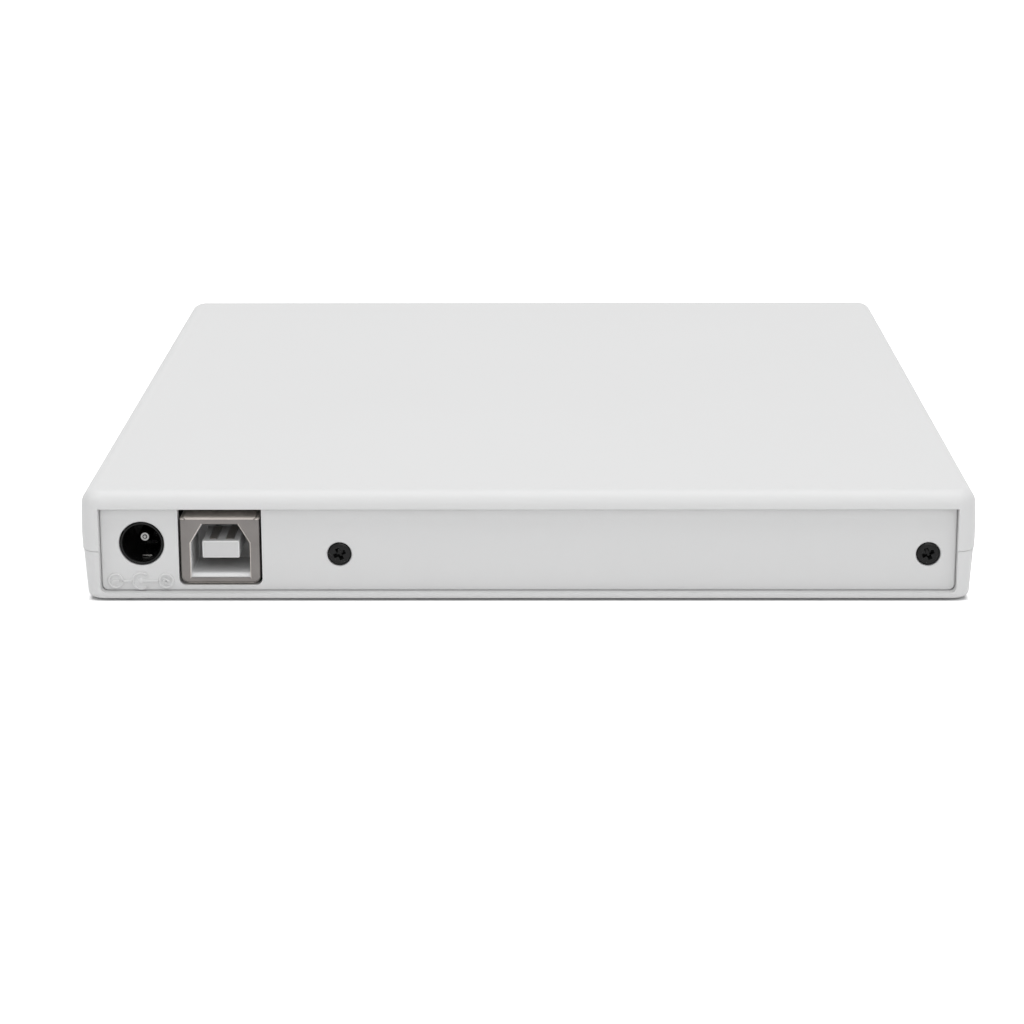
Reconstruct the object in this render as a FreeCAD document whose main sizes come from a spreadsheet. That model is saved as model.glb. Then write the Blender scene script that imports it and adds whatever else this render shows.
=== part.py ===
import FreeCAD, Part
import math
import os
import re

import Sketcher

# Driving sizes in millimetres, angles in degrees. Each goes into one cell of the sheet.
SIZES = {
    # how far a cut reaches past a face, and a root into what carries it
    "cut_past": 1.0,
    "root_bite": 0.1,
    # slim drive inside the case
    "drive_wide": 128.0,
    "drive_deep": 125.0,
    "drive_high": 12.7,
    "sheet_thick": 0.5,
    # case shells
    "drive_side_gap": 0.6,
    "side_wall": 2.5,
    "top_inset": 0.35,
    "part_inset": 0.12,
    "base_inset": 0.7,
    "parting_step": 0.1,
    "side_crown": 60.0,
    "floor_thick": 1.3,
    "drive_rest": 0.35,
    "drive_top_gap": 0.45,
    "roof_thick": 1.9,
    "parting_high": 7.37,
    "parting_chamfer": 0.16,
    "top_round": 2.3,
    "base_round": 0.85,
    "corner_round": 3.0,
    "drive_inset": 4.5,
    "rear_bay": 19.5,
    "lip_thick": 0.9,
    "lip_high": 0.8,
    "lip_gap": 0.1,
    "lip_end": 4.0,
    # rubber feet
    "foot_proud": 0.4,
    "foot_sunk": 0.5,
    "foot_radius": 4.5,
    "foot_gap": 0.1,
    "foot_inset_x": 13.0,
    "foot_inset_y": 14.0,
    # rear opening and its panel
    "rear_side_lip": 0.4,
    "rear_top_lip": 0.83,
    "rear_sill_high": 0.96,
    "opening_round": 0.9,
    "panel_inset": 1.5,
    "panel_thick": 1.8,
    "panel_side_gap": 0.04,
    "panel_low_gap": 0.05,
    "panel_top_gap": 0.22,
    "panel_round": 1.0,
    "panel_edge": 0.3,
    "hole_chamfer": 0.15,
    # screws of the rear panel
    "panel_screw_pitch": 17.9,
    "panel_screw_edge": 4.16,
    "panel_screw_lift": 5.34,
    "panel_head_radius": 1.75,
    "panel_head_high": 1.1,
    "panel_head_gap": 0.1,
    "counterbore_deep": 1.3,
    "panel_shank_radius": 1.0,
    "panel_shank_long": 6.0,
    "boss_wide": 6.4,
    "boss_deep": 7.0,
    "boss_above": 3.4,
    "cross_slot": 0.45,
    "cross_share": 0.55,
    "cross_depth_share": 0.7,
    "screw_tip_gap": 0.3,
    # interface board
    "board_thick": 0.8,
    "board_back_gap": 0.3,
    "board_deep": 14.4,
    "board_side": 14.16,
    "board_edge": 1.16,
    "board_notch_gap": 0.3,
    "peg_radius": 1.0,
    "peg_gap": 0.1,
    "peg_head_radius": 1.6,
    "peg_head_high": 0.6,
    "peg_x": 8.0,
    "peg_edge": 3.0,
    "peg_y": 9.5,
    "chip_wide": 9.0,
    "chip_high": 1.2,
    "chip_x": 12.0,
    "small_part": 2.0,
    "small_part_high": 1.0,
    "small_part_pitch": 5.0,
    "part_edge": 3.0,
    "part_round": 0.15,
    # square data socket
    "usb_wide": 12.04,
    "usb_high": 10.34,
    "usb_long": 16.0,
    "usb_sheet": 0.3,
    "usb_mouth_wide": 8.9,
    "usb_mouth_high": 8.3,
    "usb_mouth_drop": 0.1,
    "usb_mouth_chamfer": 1.8,
    "usb_mouth_chamfer_high": 3.0,
    "usb_cavity_wide": 8.45,
    "usb_cavity_high": 7.8,
    "usb_cavity_deep": 9.0,
    "usb_tongue_wide": 5.6,
    "usb_tongue_high": 2.65,
    "usb_tongue_drop": 0.03,
    "usb_tongue_recess": 1.0,
    "usb_core_back": 0.5,
    "usb_corner": 1.0,
    "usb_fold": 0.5,
    "usb_notch_gap": 0.25,
    "contact_wide": 1.1,
    "contact_thick": 0.3,
    "contact_pitch": 2.5,
    "contact_back": 1.2,
    # round power socket
    "dc_edge": 6.16,
    "socket_pitch": 11.8,
    "dc_lift": 6.2,
    "dc_hole_radius": 3.4,
    "dc_collar_radius": 3.3,
    "dc_collar_wall": 0.25,
    "dc_collar_back": 0.1,
    "dc_collar_deep": 1.5,
    "dc_bore_radius": 2.85,
    "dc_pin_radius": 1.0,
    "dc_pin_round": 0.8,
    "dc_pin_back": 4.0,
    "dc_bore_deep": 9.5,
    "dc_wide": 9.0,
    "dc_above": 4.5,
    "dc_long": 13.5,
    "dc_leaf_thick": 0.3,
    "dc_leaf_wide": 1.6,
    "dc_leaf_gap": 0.35,
    "dc_leaf_start": 2.6,
    "dc_leaf_side": 1.0,
    "dc_case_round": 0.4,
    # raised polarity mark under the power socket
    "mark_lift": 1.22,
    "mark_proud": 0.12,
    "mark_line": 0.25,
    "mark_ring": 1.0,
    "mark_cup": 1.2,
    "mark_dot": 0.45,
    "mark_pitch": 3.8,
    "mark_aside": 0.25,
    "mark_sign": 0.5,
    "cup_mouth": 0.7,
    # drive housing, rails and their guides
    "flange_high": 5.0,
    "ear_long": 6.0,
    "ear_wide": 4.0,
    "ear_inset": 9.0,
    "cover_screw_radius": 0.8,
    "cover_head_radius": 1.7,
    "cover_head_high": 0.3,
    "cover_screw_long": 1.4,
    "guide_thick": 1.8,
    "guide_back": 0.5,
    "guide_high": 7.4,
    "guide_front": 1.5,
    "guide_rear": 5.5,
    "slide_gap": 0.3,
    "rail_wide": 2.3,
    "rail_high": 3.6,
    "rail_lift": 4.15,
    "rail_front": 3.5,
    "rail_long": 112.0,
    "rail_round": 0.5,
    "mount_screw_x": 9.0,
    "mount_screw_y": 6.5,
    "mount_boss_radius": 2.2,
    "mount_boss_high": 2.2,
    "mount_shank_radius": 1.0,
    "mount_head_radius": 1.8,
    "mount_head_high": 0.5,
    "mount_hole_gap": 0.15,
    "rest_pad_radius": 4.0,
    "rest_pad_inset": 14.0,
    # rear board of the drive and the plug between drive and interface board
    "drive_board_back": 1.0,
    "drive_board_deep": 10.0,
    "drive_board_edge": 13.0,
    "drive_board_right": 8.0,
    "drive_board_strip": 3.3,
    "drive_board_reach": 44.0,
    "socket_edge": 0.5,
    "socket_back": 0.3,
    "socket_high": 1.0,
    "plug_x": 29.5,
    "plug_wide": 27.0,
    "plug_high": 4.0,
    "plug_deep": 7.5,
    "plug_wall": 1.0,
    "plug_cavity": 5.0,
    "plug_gap": 0.2,
    "receptacle_deep": 7.0,
    "receptacle_nose": 4.5,
    "slot_gap": 0.4,
    "lock_post_x": 12.0,
    "lock_post_y": 8.0,
    "lock_post_radius": 1.0,
    "lock_post_high": 4.0,
    # tray
    "tray_run_gap": 0.35,
    "tray_plate_thick": 0.4,
    "recess_lift": 7.5,
    "recess_deep": 3.5,
    "deck_thick": 1.5,
    "disc_back": 61.5,
    "recess_radius": 60.4,
    "small_recess_radius": 40.3,
    "small_recess_deep": 0.4,
    "skirt_wide": 2.9,
    "front_skirt": 3.0,
    "skirt_edge": 0.15,
    "tray_rear_gap": 2.0,
    "tray_low_end": 13.5,
    "finger_notch_radius": 9.0,
    # front bezel, its button, lamp and release hole
    "bezel_proud": 1.0,
    "bezel_thick": 4.5,
    "bezel_gap": 0.35,
    "bezel_round": 0.8,
    "bezel_wall": 1.8,
    "bezel_hollow_left": 61.0,
    "bezel_hollow_right": 14.0,
    "button_x": 42.0,
    "button_lift": 4.25,
    "button_wide": 9.0,
    "button_high": 3.4,
    "button_round": 0.9,
    "button_sunk": 0.05,
    "button_gap": 0.3,
    "button_flange": 0.7,
    "button_flange_thick": 0.4,
    "button_travel": 0.6,
    "stem_radius": 1.2,
    "switch_gap": 0.1,
    "switch_wide": 6.0,
    "switch_deep": 3.5,
    "switch_drop": 4.2,
    "switch_plunger": 0.5,
    "lamp_x": 33.0,
    "lamp_radius": 0.9,
    "release_x": 26.0,
    "release_radius": 0.7,
    # plate under the tray and the tray's screws
    "plate_right": 22.5,
    "plate_rear": 20.0,
    "plate_edge_gap": 0.4,
    "plate_screw_inset": 11.5,
    "plate_screw_edge": 5.8,
    "plate_front_gap": 0.5,
    "tray_head_radius": 1.5,
    "tray_shank_radius": 0.7,
    "tray_shank_long": 1.9,
    # traverse: the frame under the disc, turned about the disc's centre
    "traverse_angle": 225.0,
    "frame_low_gap": 0.8,
    "frame_thick": 0.8,
    "frame_back": 19.0,
    "frame_side": 22.5,
    "frame_end": 68.5,
    "frame_corner": 10.5,
    "window_back": 16.0,
    "window_side": 21.0,
    "window_end": 69.0,
    "window_corner": 8.5,
    "sled_window_start": 13.0,
    "sled_window_side": 13.9,
    "sled_window_end": 65.0,
    "deck_gap": 0.5,
    "traverse_roof_drop": 0.25,
    "traverse_roof_thick": 0.4,
    "rotor_window": 14.0,
    "lens_slot_side": 8.5,
    "lens_slot_end": 67.0,
    "lens_room": 0.9,
    "post_radius": 1.2,
    "post_back": 13.5,
    "post_back_side": 18.3,
    "post_end": 63.5,
    "post_end_side": 15.8,
    "ear_radius": 4.0,
    "ear_hole": 2.1,
    "ear_back": 23.0,
    "ear_along": 30.0,
    "ear_side": 24.5,
    "grommet_radius": 3.0,
    "grommet_flange": 0.6,
    "grommet_bore": 1.0,
    "grommet_ease": 0.02,
    "grommet_head_radius": 2.4,
    "grommet_head_high": 0.5,
    "grommet_hole": 3.5,
    "tray_boss_radius": 2.5,
    # spindle motor
    "spindle_plate_radius": 12.5,
    "spindle_plate_thick": 0.5,
    "shaft_radius": 1.0,
    "fit_gap": 0.05,
    "bearing_radius": 2.4,
    "bearing_top_gap": 0.3,
    "stator_seat_wall": 1.0,
    "stator_radius": 9.5,
    "stator_thick": 1.3,
    "stator_hub": 4.2,
    "stator_lift": 1.2,
    "stator_teeth": 9.0,
    "tooth_wide": 1.4,
    "coil_wide": 2.5,
    "coil_high": 2.3,
    "coil_start": 4.6,
    "coil_long": 3.2,
    "magnet_gap": 0.5,
    "magnet_thick": 1.2,
    "magnet_high": 2.5,
    "bell_wall": 1.0,
    "bell_lift": 0.5,
    "bell_roof": 1.6,
    "turntable_radius": 13.2,
    "turntable_thick": 0.7,
    "disc_lift": 2.05,
    "ring_thick": 0.4,
    "ring_inner": 10.4,
    "ring_outer": 13.0,
    "hub_radius": 7.4,
    "hub_flange": 9.6,
    "hub_flange_thick": 0.3,
    "hub_wall_high": 1.3,
    "hub_step": 0.25,
    "hub_window_high": 0.6,
    "hub_cap": 0.4,
    "hub_bevel": 0.7,
    "claw_wide": 2.8,
    "claw_thick": 0.4,
    "claw_start": 3.9,
    "claw_reach": 0.35,
    "claw_travel": 0.5,
    "claw_gap": 0.1,
    "claw_round": 0.16,
    # pickup, its two guide shafts and the screw that drives it
    "lens_start": 24.0,
    "sled_back": 8.0,
    "sled_front": 6.0,
    "sled_side": 13.5,
    "sled_high": 4.2,
    "guide_shaft_side": 11.5,
    "guide_shaft_radius": 1.0,
    "guide_shaft_lift": 1.8,
    "guide_shaft_start": 13.0,
    "guide_shaft_end": 67.0,
    "shaft_block_wide": 3.0,
    "shaft_block_long": 2.6,
    "shaft_block_high": 3.2,
    "sled_round": 1.5,
    "well_deep": 1.0,
    "well_gap": 1.0,
    "actuator_gap": 0.1,
    "magnet_long": 1.4,
    "magnet_wide": 8.0,
    "actuator_high": 1.3,
    "holder_long": 9.0,
    "holder_wide": 10.0,
    "holder_high": 1.2,
    "holder_lift": 0.55,
    "holder_round": 1.0,
    "lens_radius": 2.3,
    "small_lens_radius": 1.5,
    "lens_apart": 2.5,
    "lens_high": 0.35,
    "lens_sunk": 1.0,
    "screw_side": 17.0,
    "screw_lift": 1.8,
    "screw_radius": 1.1,
    "screw_start": 15.1,
    "screw_end": 61.0,
    "screw_pitch": 3.0,
    "screw_groove": 0.4,
    "groove_wide": 1.0,
    "journal_radius": 0.5,
    "bracket_thick": 0.4,
    "bracket_high": 4.0,
    "bracket_side": 2.0,
    "journal_long": 1.2,
    "motor_radius": 2.5,
    "motor_long": 9.7,
    "motor_round": 0.3,
    "follower_gap": 0.3,
    "follower_long": 6.0,
    "follower_high": 2.0,
    "follower_slot": 1.0,
    "follower_slot_deep": 0.4,
    # board, latch and ejector under the tray's rear half
    "tray_board_left": 8.0,
    "tray_board_edge": 2.0,
    "tray_board_front": 14.0,
    "tray_board_rear": 38.5,
    "tray_board_drop": 2.55,
    "tray_board_boss": 2.0,
    "tray_board_inset": 3.0,
    "servo_chip_x": 24.0,
    "servo_chip_y": 26.0,
    "servo_chip_wide": 12.0,
    "servo_chip_high": 1.4,
    "memory_chip_x": 39.0,
    "memory_chip_y": 20.5,
    "memory_chip_wide": 6.5,
    "memory_chip_high": 1.1,
    "driver_chip_x": 40.0,
    "driver_chip_y": 31.5,
    "driver_chip_wide": 6.0,
    "driver_chip_high": 1.3,
    "lead_socket_long": 3.0,
    "lead_socket_edge": 1.0,
    "latch_x": 15.6,
    "latch_y": 41.5,
    "latch_pin_radius": 1.2,
    "latch_pin_past": 0.3,
    "latch_eye_wall": 1.2,
    "latch_arm_wide": 2.0,
    "latch_arm_thick": 1.2,
    "latch_tooth_reach": 1.3,
    "latch_tooth_long": 1.5,
    "latch_tooth_gap": 0.7,
    "latch_drop": 1.9,
    "magnet_x": 18.0,
    "magnet_size": 7.5,
    "magnet_back": 2.0,
    "magnet_round": 0.5,
    "magnet_drop": 4.0,
    "ejector_x": 42.5,
    "ejector_radius": 1.5,
    "ejector_start": 43.0,
    "ejector_gap": 0.3,
    "ejector_box": 6.0,
    "ejector_box_end": 50.0,
    "ejector_drop": 4.4,
    "plunger_back": 3.0,
    "plunger_round": 0.5,
    "spring_wire": 0.3,
    "spring_radius": 1.1,
    "spring_count": 4.0,
    # flat flexible leads
    "ribbon_left": 26.0,
    "ribbon_right": 38.0,
    "ribbon_thick": 0.15,
    "ribbon_front": 28.0,
    "ribbon_rise": 1.0,
    "ribbon_clear": 0.05,
    "pickup_ribbon_bend": 46.0,
    "pickup_ribbon_end": 22.0,
    "pickup_ribbon_near": 6.0,
    "pickup_ribbon_far": 13.0,
}

# Places worked out from the driving sizes.
PLACES = {
    "cavity_half": "drive_wide / 2 + drive_side_gap",
    "case_half": "cavity_half + side_wall",
    "top_half": "case_half - top_inset",
    "part_half": "case_half - part_inset",
    "case_deep": "drive_inset + drive_deep + rear_bay",
    "case_front": "(bezel_proud - case_deep) / 2",
    "case_rear": "case_front + case_deep",
    "drive_front": "case_front + drive_inset",
    "drive_rear": "drive_front + drive_deep",
    "floor_top": "foot_proud + floor_thick",
    "drive_base": "floor_top + drive_rest",
    "drive_top": "drive_base + drive_high",
    "roof_under": "drive_top + drive_top_gap",
    "case_top": "roof_under + roof_thick",
    "parting": "foot_proud + parting_high",
    "foot_x": "case_half - foot_inset_x",
    "foot_y": "case_deep / 2 - foot_inset_y",
    "opening_half": "cavity_half - rear_side_lip",
    "opening_top": "roof_under - rear_top_lip",
    "opening_low": "foot_proud + rear_sill_high",
    "panel_face": "case_rear - panel_inset",
    "panel_back": "panel_face - panel_thick",
    "panel_half": "opening_half - panel_side_gap",
    "panel_low": "opening_low + panel_low_gap",
    "panel_top": "opening_top - panel_top_gap",
    "panel_screw_z": "floor_top + panel_screw_lift",
    "panel_screw_right": "usb_x - panel_screw_pitch",
    "panel_screw_left": "panel_half - panel_screw_edge",
    "counterbore_radius": "panel_head_radius + panel_head_gap",
    "counterbore_floor": "panel_face - counterbore_deep",
    "boss_top": "panel_screw_z + boss_above",
    "board_top": "floor_top + board_thick",
    "board_left": "panel_half - board_side",
    "board_right": "panel_half - board_edge",
    "peg_far_x": "board_left - peg_edge",
    "board_rear": "panel_back - board_back_gap",
    "board_front": "board_rear - board_deep",
    "dc_x": "panel_half - dc_edge",
    "usb_x": "dc_x - socket_pitch",
    "usb_z": "board_top + usb_high / 2",
    "usb_mouth_z": "usb_z - usb_mouth_drop",
    "dc_z": "board_top + dc_lift",
    "mark_z": "floor_top + mark_lift",
    "mark_x": "dc_x + mark_aside",
    "chassis_half": "drive_wide / 2 - sheet_thick",
    "chassis_in": "chassis_half - sheet_thick",
    "chassis_floor": "drive_base + sheet_thick",
    "cover_under": "drive_top - sheet_thick",
    "guide_in": "chassis_in - guide_thick",
    "rail_out": "chassis_in - guide_back - slide_gap",
    "rail_in": "rail_out - rail_wide",
    "rail_z": "chassis_floor + rail_lift",
    "groove_half": "rail_high / 2 + slide_gap",
    "tray_half": "guide_in - slide_gap",
    "tray_groove": "rail_in - slide_gap",
    "plate_low": "chassis_floor + tray_run_gap",
    "tray_low": "plate_low + tray_plate_thick",
    "recess_floor": "drive_base + recess_lift",
    "deck_under": "recess_floor - deck_thick",
    "tray_top": "recess_floor + recess_deep",
    "disc_y": "drive_front + disc_back",
    "bezel_front": "case_front - bezel_proud",
    "bezel_back": "bezel_front + bezel_thick",
    "tray_rear": "drive_rear - tray_rear_gap",
    "low_end": "drive_rear - tray_low_end",
    "button_z": "drive_base + button_lift",
    "button_back": "bezel_back - 2 * button_gap + button_flange_thick",
    "mount_x": "drive_wide / 2 - mount_screw_x",
    "mount_y": "drive_rear - mount_screw_y",
    "drive_board_left": "chassis_in - drive_board_edge",
    "drive_board_rear": "drive_rear - drive_board_back",
    "drive_board_front": "drive_board_rear - drive_board_deep",
    "drive_board_top": "chassis_floor + board_thick",
    "post_y": "drive_rear - lock_post_y",
    "disc_seat": "recess_floor + disc_lift",
    "turntable_top": "disc_seat - ring_thick",
    "frame_low": "tray_low + frame_low_gap",
    "frame_top": "frame_low + frame_thick",
    "traverse_roof": "recess_floor - traverse_roof_drop",
    "roof_top": "traverse_roof + traverse_roof_thick",
    "spindle_top": "frame_top + spindle_plate_thick",
    "bell_in": "stator_radius + magnet_gap + magnet_thick",
    "bell_out": "bell_in + bell_wall",
    "bell_low": "spindle_top + bell_lift",
    "bell_ceiling": "turntable_top - bell_roof",
    "hub_wall_low": "turntable_top + hub_flange_thick",
    "hub_wall_top": "hub_wall_low + hub_wall_high",
    "hub_window_top": "hub_wall_top + hub_window_high",
    "hub_top": "hub_window_top + hub_cap",
    "guide_shaft_z": "frame_top + guide_shaft_lift",
    "sled_low": "frame_low",
    "sled_top": "sled_low + sled_high",
    "screw_z": "frame_top + screw_lift",
    "motor_end": "screw_start - journal_long - bracket_thick",
    "motor_start": "motor_end - motor_long",
    "holder_low": "sled_top + holder_lift",
    "tray_board_right": "tray_half - skirt_wide - tray_board_edge",
    "tray_board_top": "deck_under - tray_board_drop",
    "tray_board_low": "tray_board_top - board_thick",
    "latch_low": "deck_under - latch_drop - latch_arm_thick",
    "ejector_z": "deck_under - ejector_drop / 2",
    "ribbon_low": "chassis_floor + ribbon_clear",
    "ribbon_top": "ribbon_low + 2 * ribbon_thick + ribbon_rise",
}

WORD = re.compile(r"[a-z][a-z_0-9]*")
PARALLEL = 0.99
NEAR = 0.02

doc = FreeCAD.newDocument("optical_drive")
sheet = doc.addObject("Spreadsheet::Sheet", "sizes")
for row, (word, number) in enumerate(SIZES.items(), start=1):
    sheet.set(f"A{row}", str(number))
    sheet.setAlias(f"A{row}", word)
doc.recompute()

nodes = []


def bind(text):
    """The expression with every size read from the sheet and every place written out."""

    def swap(found):
        word = found.group(0)
        if word in PLACES:
            return "(" + bind(PLACES[word]) + ")"
        return "sizes." + word if word in SIZES else word

    return WORD.sub(swap, str(text))


def value(text):
    """The number that an expression stands for now."""
    return float(sheet.evalExpression(bind(text)))


def new_body(label, node=True):
    body = doc.addObject("PartDesign::Body", label)
    body.Label = label
    if node:
        nodes.append(body)
    return body


def on_traverse(body):
    """Turns a body so that its X runs along the pickup's path and its origin is the disc's centre."""
    body.setExpression("Placement.Base.y", bind("disc_y"))
    body.setExpression("Placement.Rotation.Angle", bind("traverse_angle"))


def block(body, name, x, y, z, cut=False):
    """A box between three pairs of expressions, or a cut of that shape."""
    kind = "PartDesign::SubtractiveBox" if cut else "PartDesign::AdditiveBox"
    box = body.newObject(kind, name)
    for side, place, (low, high) in (("Length", "x", x), ("Width", "y", y), ("Height", "z", z)):
        box.setExpression(side, bind(f"({high}) - ({low})"))
        box.setExpression(f"Placement.Base.{place}", bind(low))
    return box


TURNS = {
    "x": FreeCAD.Rotation(FreeCAD.Vector(0, 1, 0), 90),
    "y": FreeCAD.Rotation(FreeCAD.Vector(1, 0, 0), -90),
    "z": FreeCAD.Rotation(),
}


def rod(body, name, axis, across, along, radius, cut=False):
    """A cylinder along an axis: across gives its centre on the other two axes, in X, Y, Z order."""
    kind = "PartDesign::SubtractiveCylinder" if cut else "PartDesign::AdditiveCylinder"
    cylinder = body.newObject(kind, name)
    cylinder.Placement = FreeCAD.Placement(FreeCAD.Vector(), TURNS[axis])
    cylinder.setExpression("Radius", bind(radius))
    cylinder.setExpression("Height", bind(f"({along[1]}) - ({along[0]})"))
    centre = list(across)
    centre.insert("xyz".index(axis), along[0])
    for place, text in zip("xyz", centre):
        cylinder.setExpression(f"Placement.Base.{place}", bind(text))
    return cylinder


def outline(body, name, role, points, level="0", crowns=()):
    """A closed sketch through pairs of expressions, its listed edges crowned outwards as arcs."""
    sketch = body.newObject("Sketcher::SketchObject", name)
    plane = next(f for f in body.Origin.OriginFeatures if f.Role == role)
    sketch.AttachmentSupport = [(plane, "")]
    sketch.MapMode = "FlatFace"
    sketch.setExpression("AttachmentOffset.Base.z", bind(level))
    corners = [FreeCAD.Vector(value(x), value(y), 0) for x, y in points]
    count = len(points)
    for i, start in enumerate(corners):
        end = corners[(i + 1) % count]
        edge = crowned(start, end, value("side_crown")) if i in crowns else None
        sketch.addGeometry(edge or Part.LineSegment(start, end), False)
    for i in range(count):
        sketch.addConstraint(Sketcher.Constraint("Coincident", i, 2, (i + 1) % count, 1))
    for i, pair in enumerate(points):
        for kind, word, text in zip(("DistanceX", "DistanceY"), ("across", "up"), pair):
            held = Sketcher.Constraint(kind, -1, 1, i, 1, value(text))
            sketch.renameConstraint(sketch.addConstraint(held), f"{word}_{i}")
            sketch.setExpression(f"Constraints.{word}_{i}", bind(text))
    for i in crowns:
        held = Sketcher.Constraint("Radius", i, value("side_crown"))
        sketch.renameConstraint(sketch.addConstraint(held), f"crown_{i}")
        sketch.setExpression(f"Constraints.crown_{i}", bind("side_crown"))
    return sketch


def crowned(start, end, radius):
    """An arc from start to end that bulges to the right of that direction."""
    chord = end - start
    inward = FreeCAD.Vector(-chord.y, chord.x, 0).normalize()
    centre = (start + end) / 2 + inward * math.sqrt(radius**2 - (chord.Length / 2) ** 2)
    first = math.atan2(start.y - centre.y, start.x - centre.x)
    last = math.atan2(end.y - centre.y, end.x - centre.x)
    return Part.ArcOfCircle(Part.Circle(centre, FreeCAD.Vector(0, 0, 1), radius), first, last)


def rings(body, name, role, circles, level="0"):
    """A sketch of whole circles, each given as expressions for its centre and radius."""
    sketch = body.newObject("Sketcher::SketchObject", name)
    plane = next(f for f in body.Origin.OriginFeatures if f.Role == role)
    sketch.AttachmentSupport = [(plane, "")]
    sketch.MapMode = "FlatFace"
    sketch.setExpression("AttachmentOffset.Base.z", bind(level))
    for i, (x, y, radius) in enumerate(circles):
        centre = FreeCAD.Vector(value(x), value(y), 0)
        sketch.addGeometry(Part.Circle(centre, FreeCAD.Vector(0, 0, 1), value(radius)), False)
        for kind, word, text in (("DistanceX", "across", x), ("DistanceY", "up", y)):
            held = Sketcher.Constraint(kind, -1, 1, i, 3, value(text))
            sketch.renameConstraint(sketch.addConstraint(held), f"{word}_{i}")
            sketch.setExpression(f"Constraints.{word}_{i}", bind(text))
        held = Sketcher.Constraint("Radius", i, value(radius))
        sketch.renameConstraint(sketch.addConstraint(held), f"radius_{i}")
        sketch.setExpression(f"Constraints.radius_{i}", bind(radius))
    return sketch


def extrude(body, name, sketch, length, cut=False, back=False):
    feature = body.newObject("PartDesign::Pocket" if cut else "PartDesign::Pad", name)
    feature.Profile = sketch
    feature.setExpression("Length", bind(length))
    feature.Reversed = back
    return feature


def posts(body, name, axis, spots, span, radius, cut=False):
    """Round posts or holes along Y or Z at several spots, made in one go."""
    role, level = ("XY_Plane", span[0]) if axis == "z" else ("XZ_Plane", minus(span[1]))
    circles = rings(body, name + "_rings", role, [(x, y, radius) for x, y in spots], level)
    return extrude(body, name, circles, f"({span[1]}) - ({span[0]})", cut, back=cut)


def turned(body, name, points):
    """A full turn about Z of an outline given as pairs of radius and height."""
    sketch = outline(body, name + "_outline", "XZ_Plane", points)
    spun = body.newObject("PartDesign::Revolution", name)
    spun.Profile = sketch
    spun.ReferenceAxis = (sketch, ["V_Axis"])
    spun.Angle = 360
    return spun


def dress(body, name, radius, chosen, kind="Fillet"):
    """Rounds or chamfers the edges of the body's last feature that a test picks out."""
    doc.recompute()
    last = body.Tip
    picked = [f"Edge{i}" for i, edge in enumerate(last.Shape.Edges, start=1) if chosen(edge)]
    feature = body.newObject("PartDesign::" + kind, name)
    feature.Base = (last, picked)
    feature.setExpression("Radius" if kind == "Fillet" else "Size", bind(radius))
    return feature


def ends(edge):
    return edge.Vertexes[0].Point, edge.Vertexes[-1].Point


def runs(edge, axis):
    """Whether an edge's two ends lie along an axis."""
    start, end = ends(edge)
    span = end - start
    return span.Length > NEAR and abs(getattr(span, axis)) > PARALLEL * span.Length


def at(edge, axis, *texts):
    """Whether both ends of an edge lie at one of the given values of a coordinate."""
    start, end = ends(edge)
    return any(
        abs(getattr(start, axis) - value(text)) < NEAR
        and abs(getattr(end, axis) - value(text)) < NEAR
        for text in texts
    )


def within(edge, axis, centre, half):
    """Whether an edge's middle lies no further than half from a centre."""
    return abs(getattr(edge.CenterOfMass, axis) - value(centre)) < value(half) + NEAR


def minus(text):
    return f"-({text})"


def plus(text, more):
    return f"({text}) + ({more})"


def around(centre, half):
    """The pair of expressions half to each side of a centre."""
    return f"({centre}) - ({half})", f"({centre}) + ({half})"


def screw(name, place, turn, head_radius, head_high, shank_radius, shank_long, flush=False):
    """A cross-head screw, its head's top at place and its shank along -Z before it is turned."""
    body = new_body(name, node=False)
    under = minus(head_high)
    head = [("0", "0"), (head_radius, "0")]
    if not flush:
        head.append((head_radius, under))
    tip = minus(plus(head_high, shank_long))
    turned(body, name + "_turned", head + [(shank_radius, under), (shank_radius, tip), ("0", tip)])
    reach = f"({head_radius}) * cross_share"
    deep = f"({head_high}) * cross_depth_share"
    for word, x, y in (("slot", reach, "cross_slot / 2"), ("cross", "cross_slot / 2", reach)):
        block(body, f"{name}_{word}", around("0", x), around("0", y), (minus(deep), "cut_past"), cut=True)
    body.Placement = FreeCAD.Placement(FreeCAD.Vector(), turn)
    for axis, text in zip("xyz", place):
        body.setExpression(f"Placement.Base.{axis}", bind(text))
    return body


def group(label, members):
    """One node that holds several separate solids."""
    compound = doc.addObject("Part::Compound", label)
    compound.Label = label
    compound.Links = members
    nodes.append(compound)
    return compound


FACE_REAR = FreeCAD.Rotation(FreeCAD.Vector(1, 0, 0), -90)
FACE_DOWN = FreeCAD.Rotation(FreeCAD.Vector(1, 0, 0), 180)
FACE_UP = FreeCAD.Rotation()
BOTH_SIDES = (("right", ""), ("left", "-"))


def both_sides(x, y):
    return [(f"{sign}({x})", y) for _, sign in BOTH_SIDES]


def mount_spots():
    """Where the drive is screwed down through the floor."""
    return both_sides("mount_x", "mount_y")


def foot_spots():
    return both_sides("foot_x", "foot_y") + both_sides("foot_x", minus("foot_y"))


def peg_spots():
    """Where the interface board hangs on the floor's pegs."""
    return [(minus(x), "board_front + peg_y") for x in ("peg_x", "peg_far_x")]


def panel_screw_spots():
    """The side, X and Z of each screw of the rear panel."""
    right = ("right", "panel_screw_right", "panel_screw_z")
    return (right, ("left", minus("panel_screw_left"), "panel_screw_z"))


def cover_spots():
    """Where the cover of the drive is screwed to the pan's ears."""
    x = "chassis_in - ear_wide / 2"
    return both_sides(x, "drive_front + ear_inset") + both_sides(x, "drive_rear - ear_inset")


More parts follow.
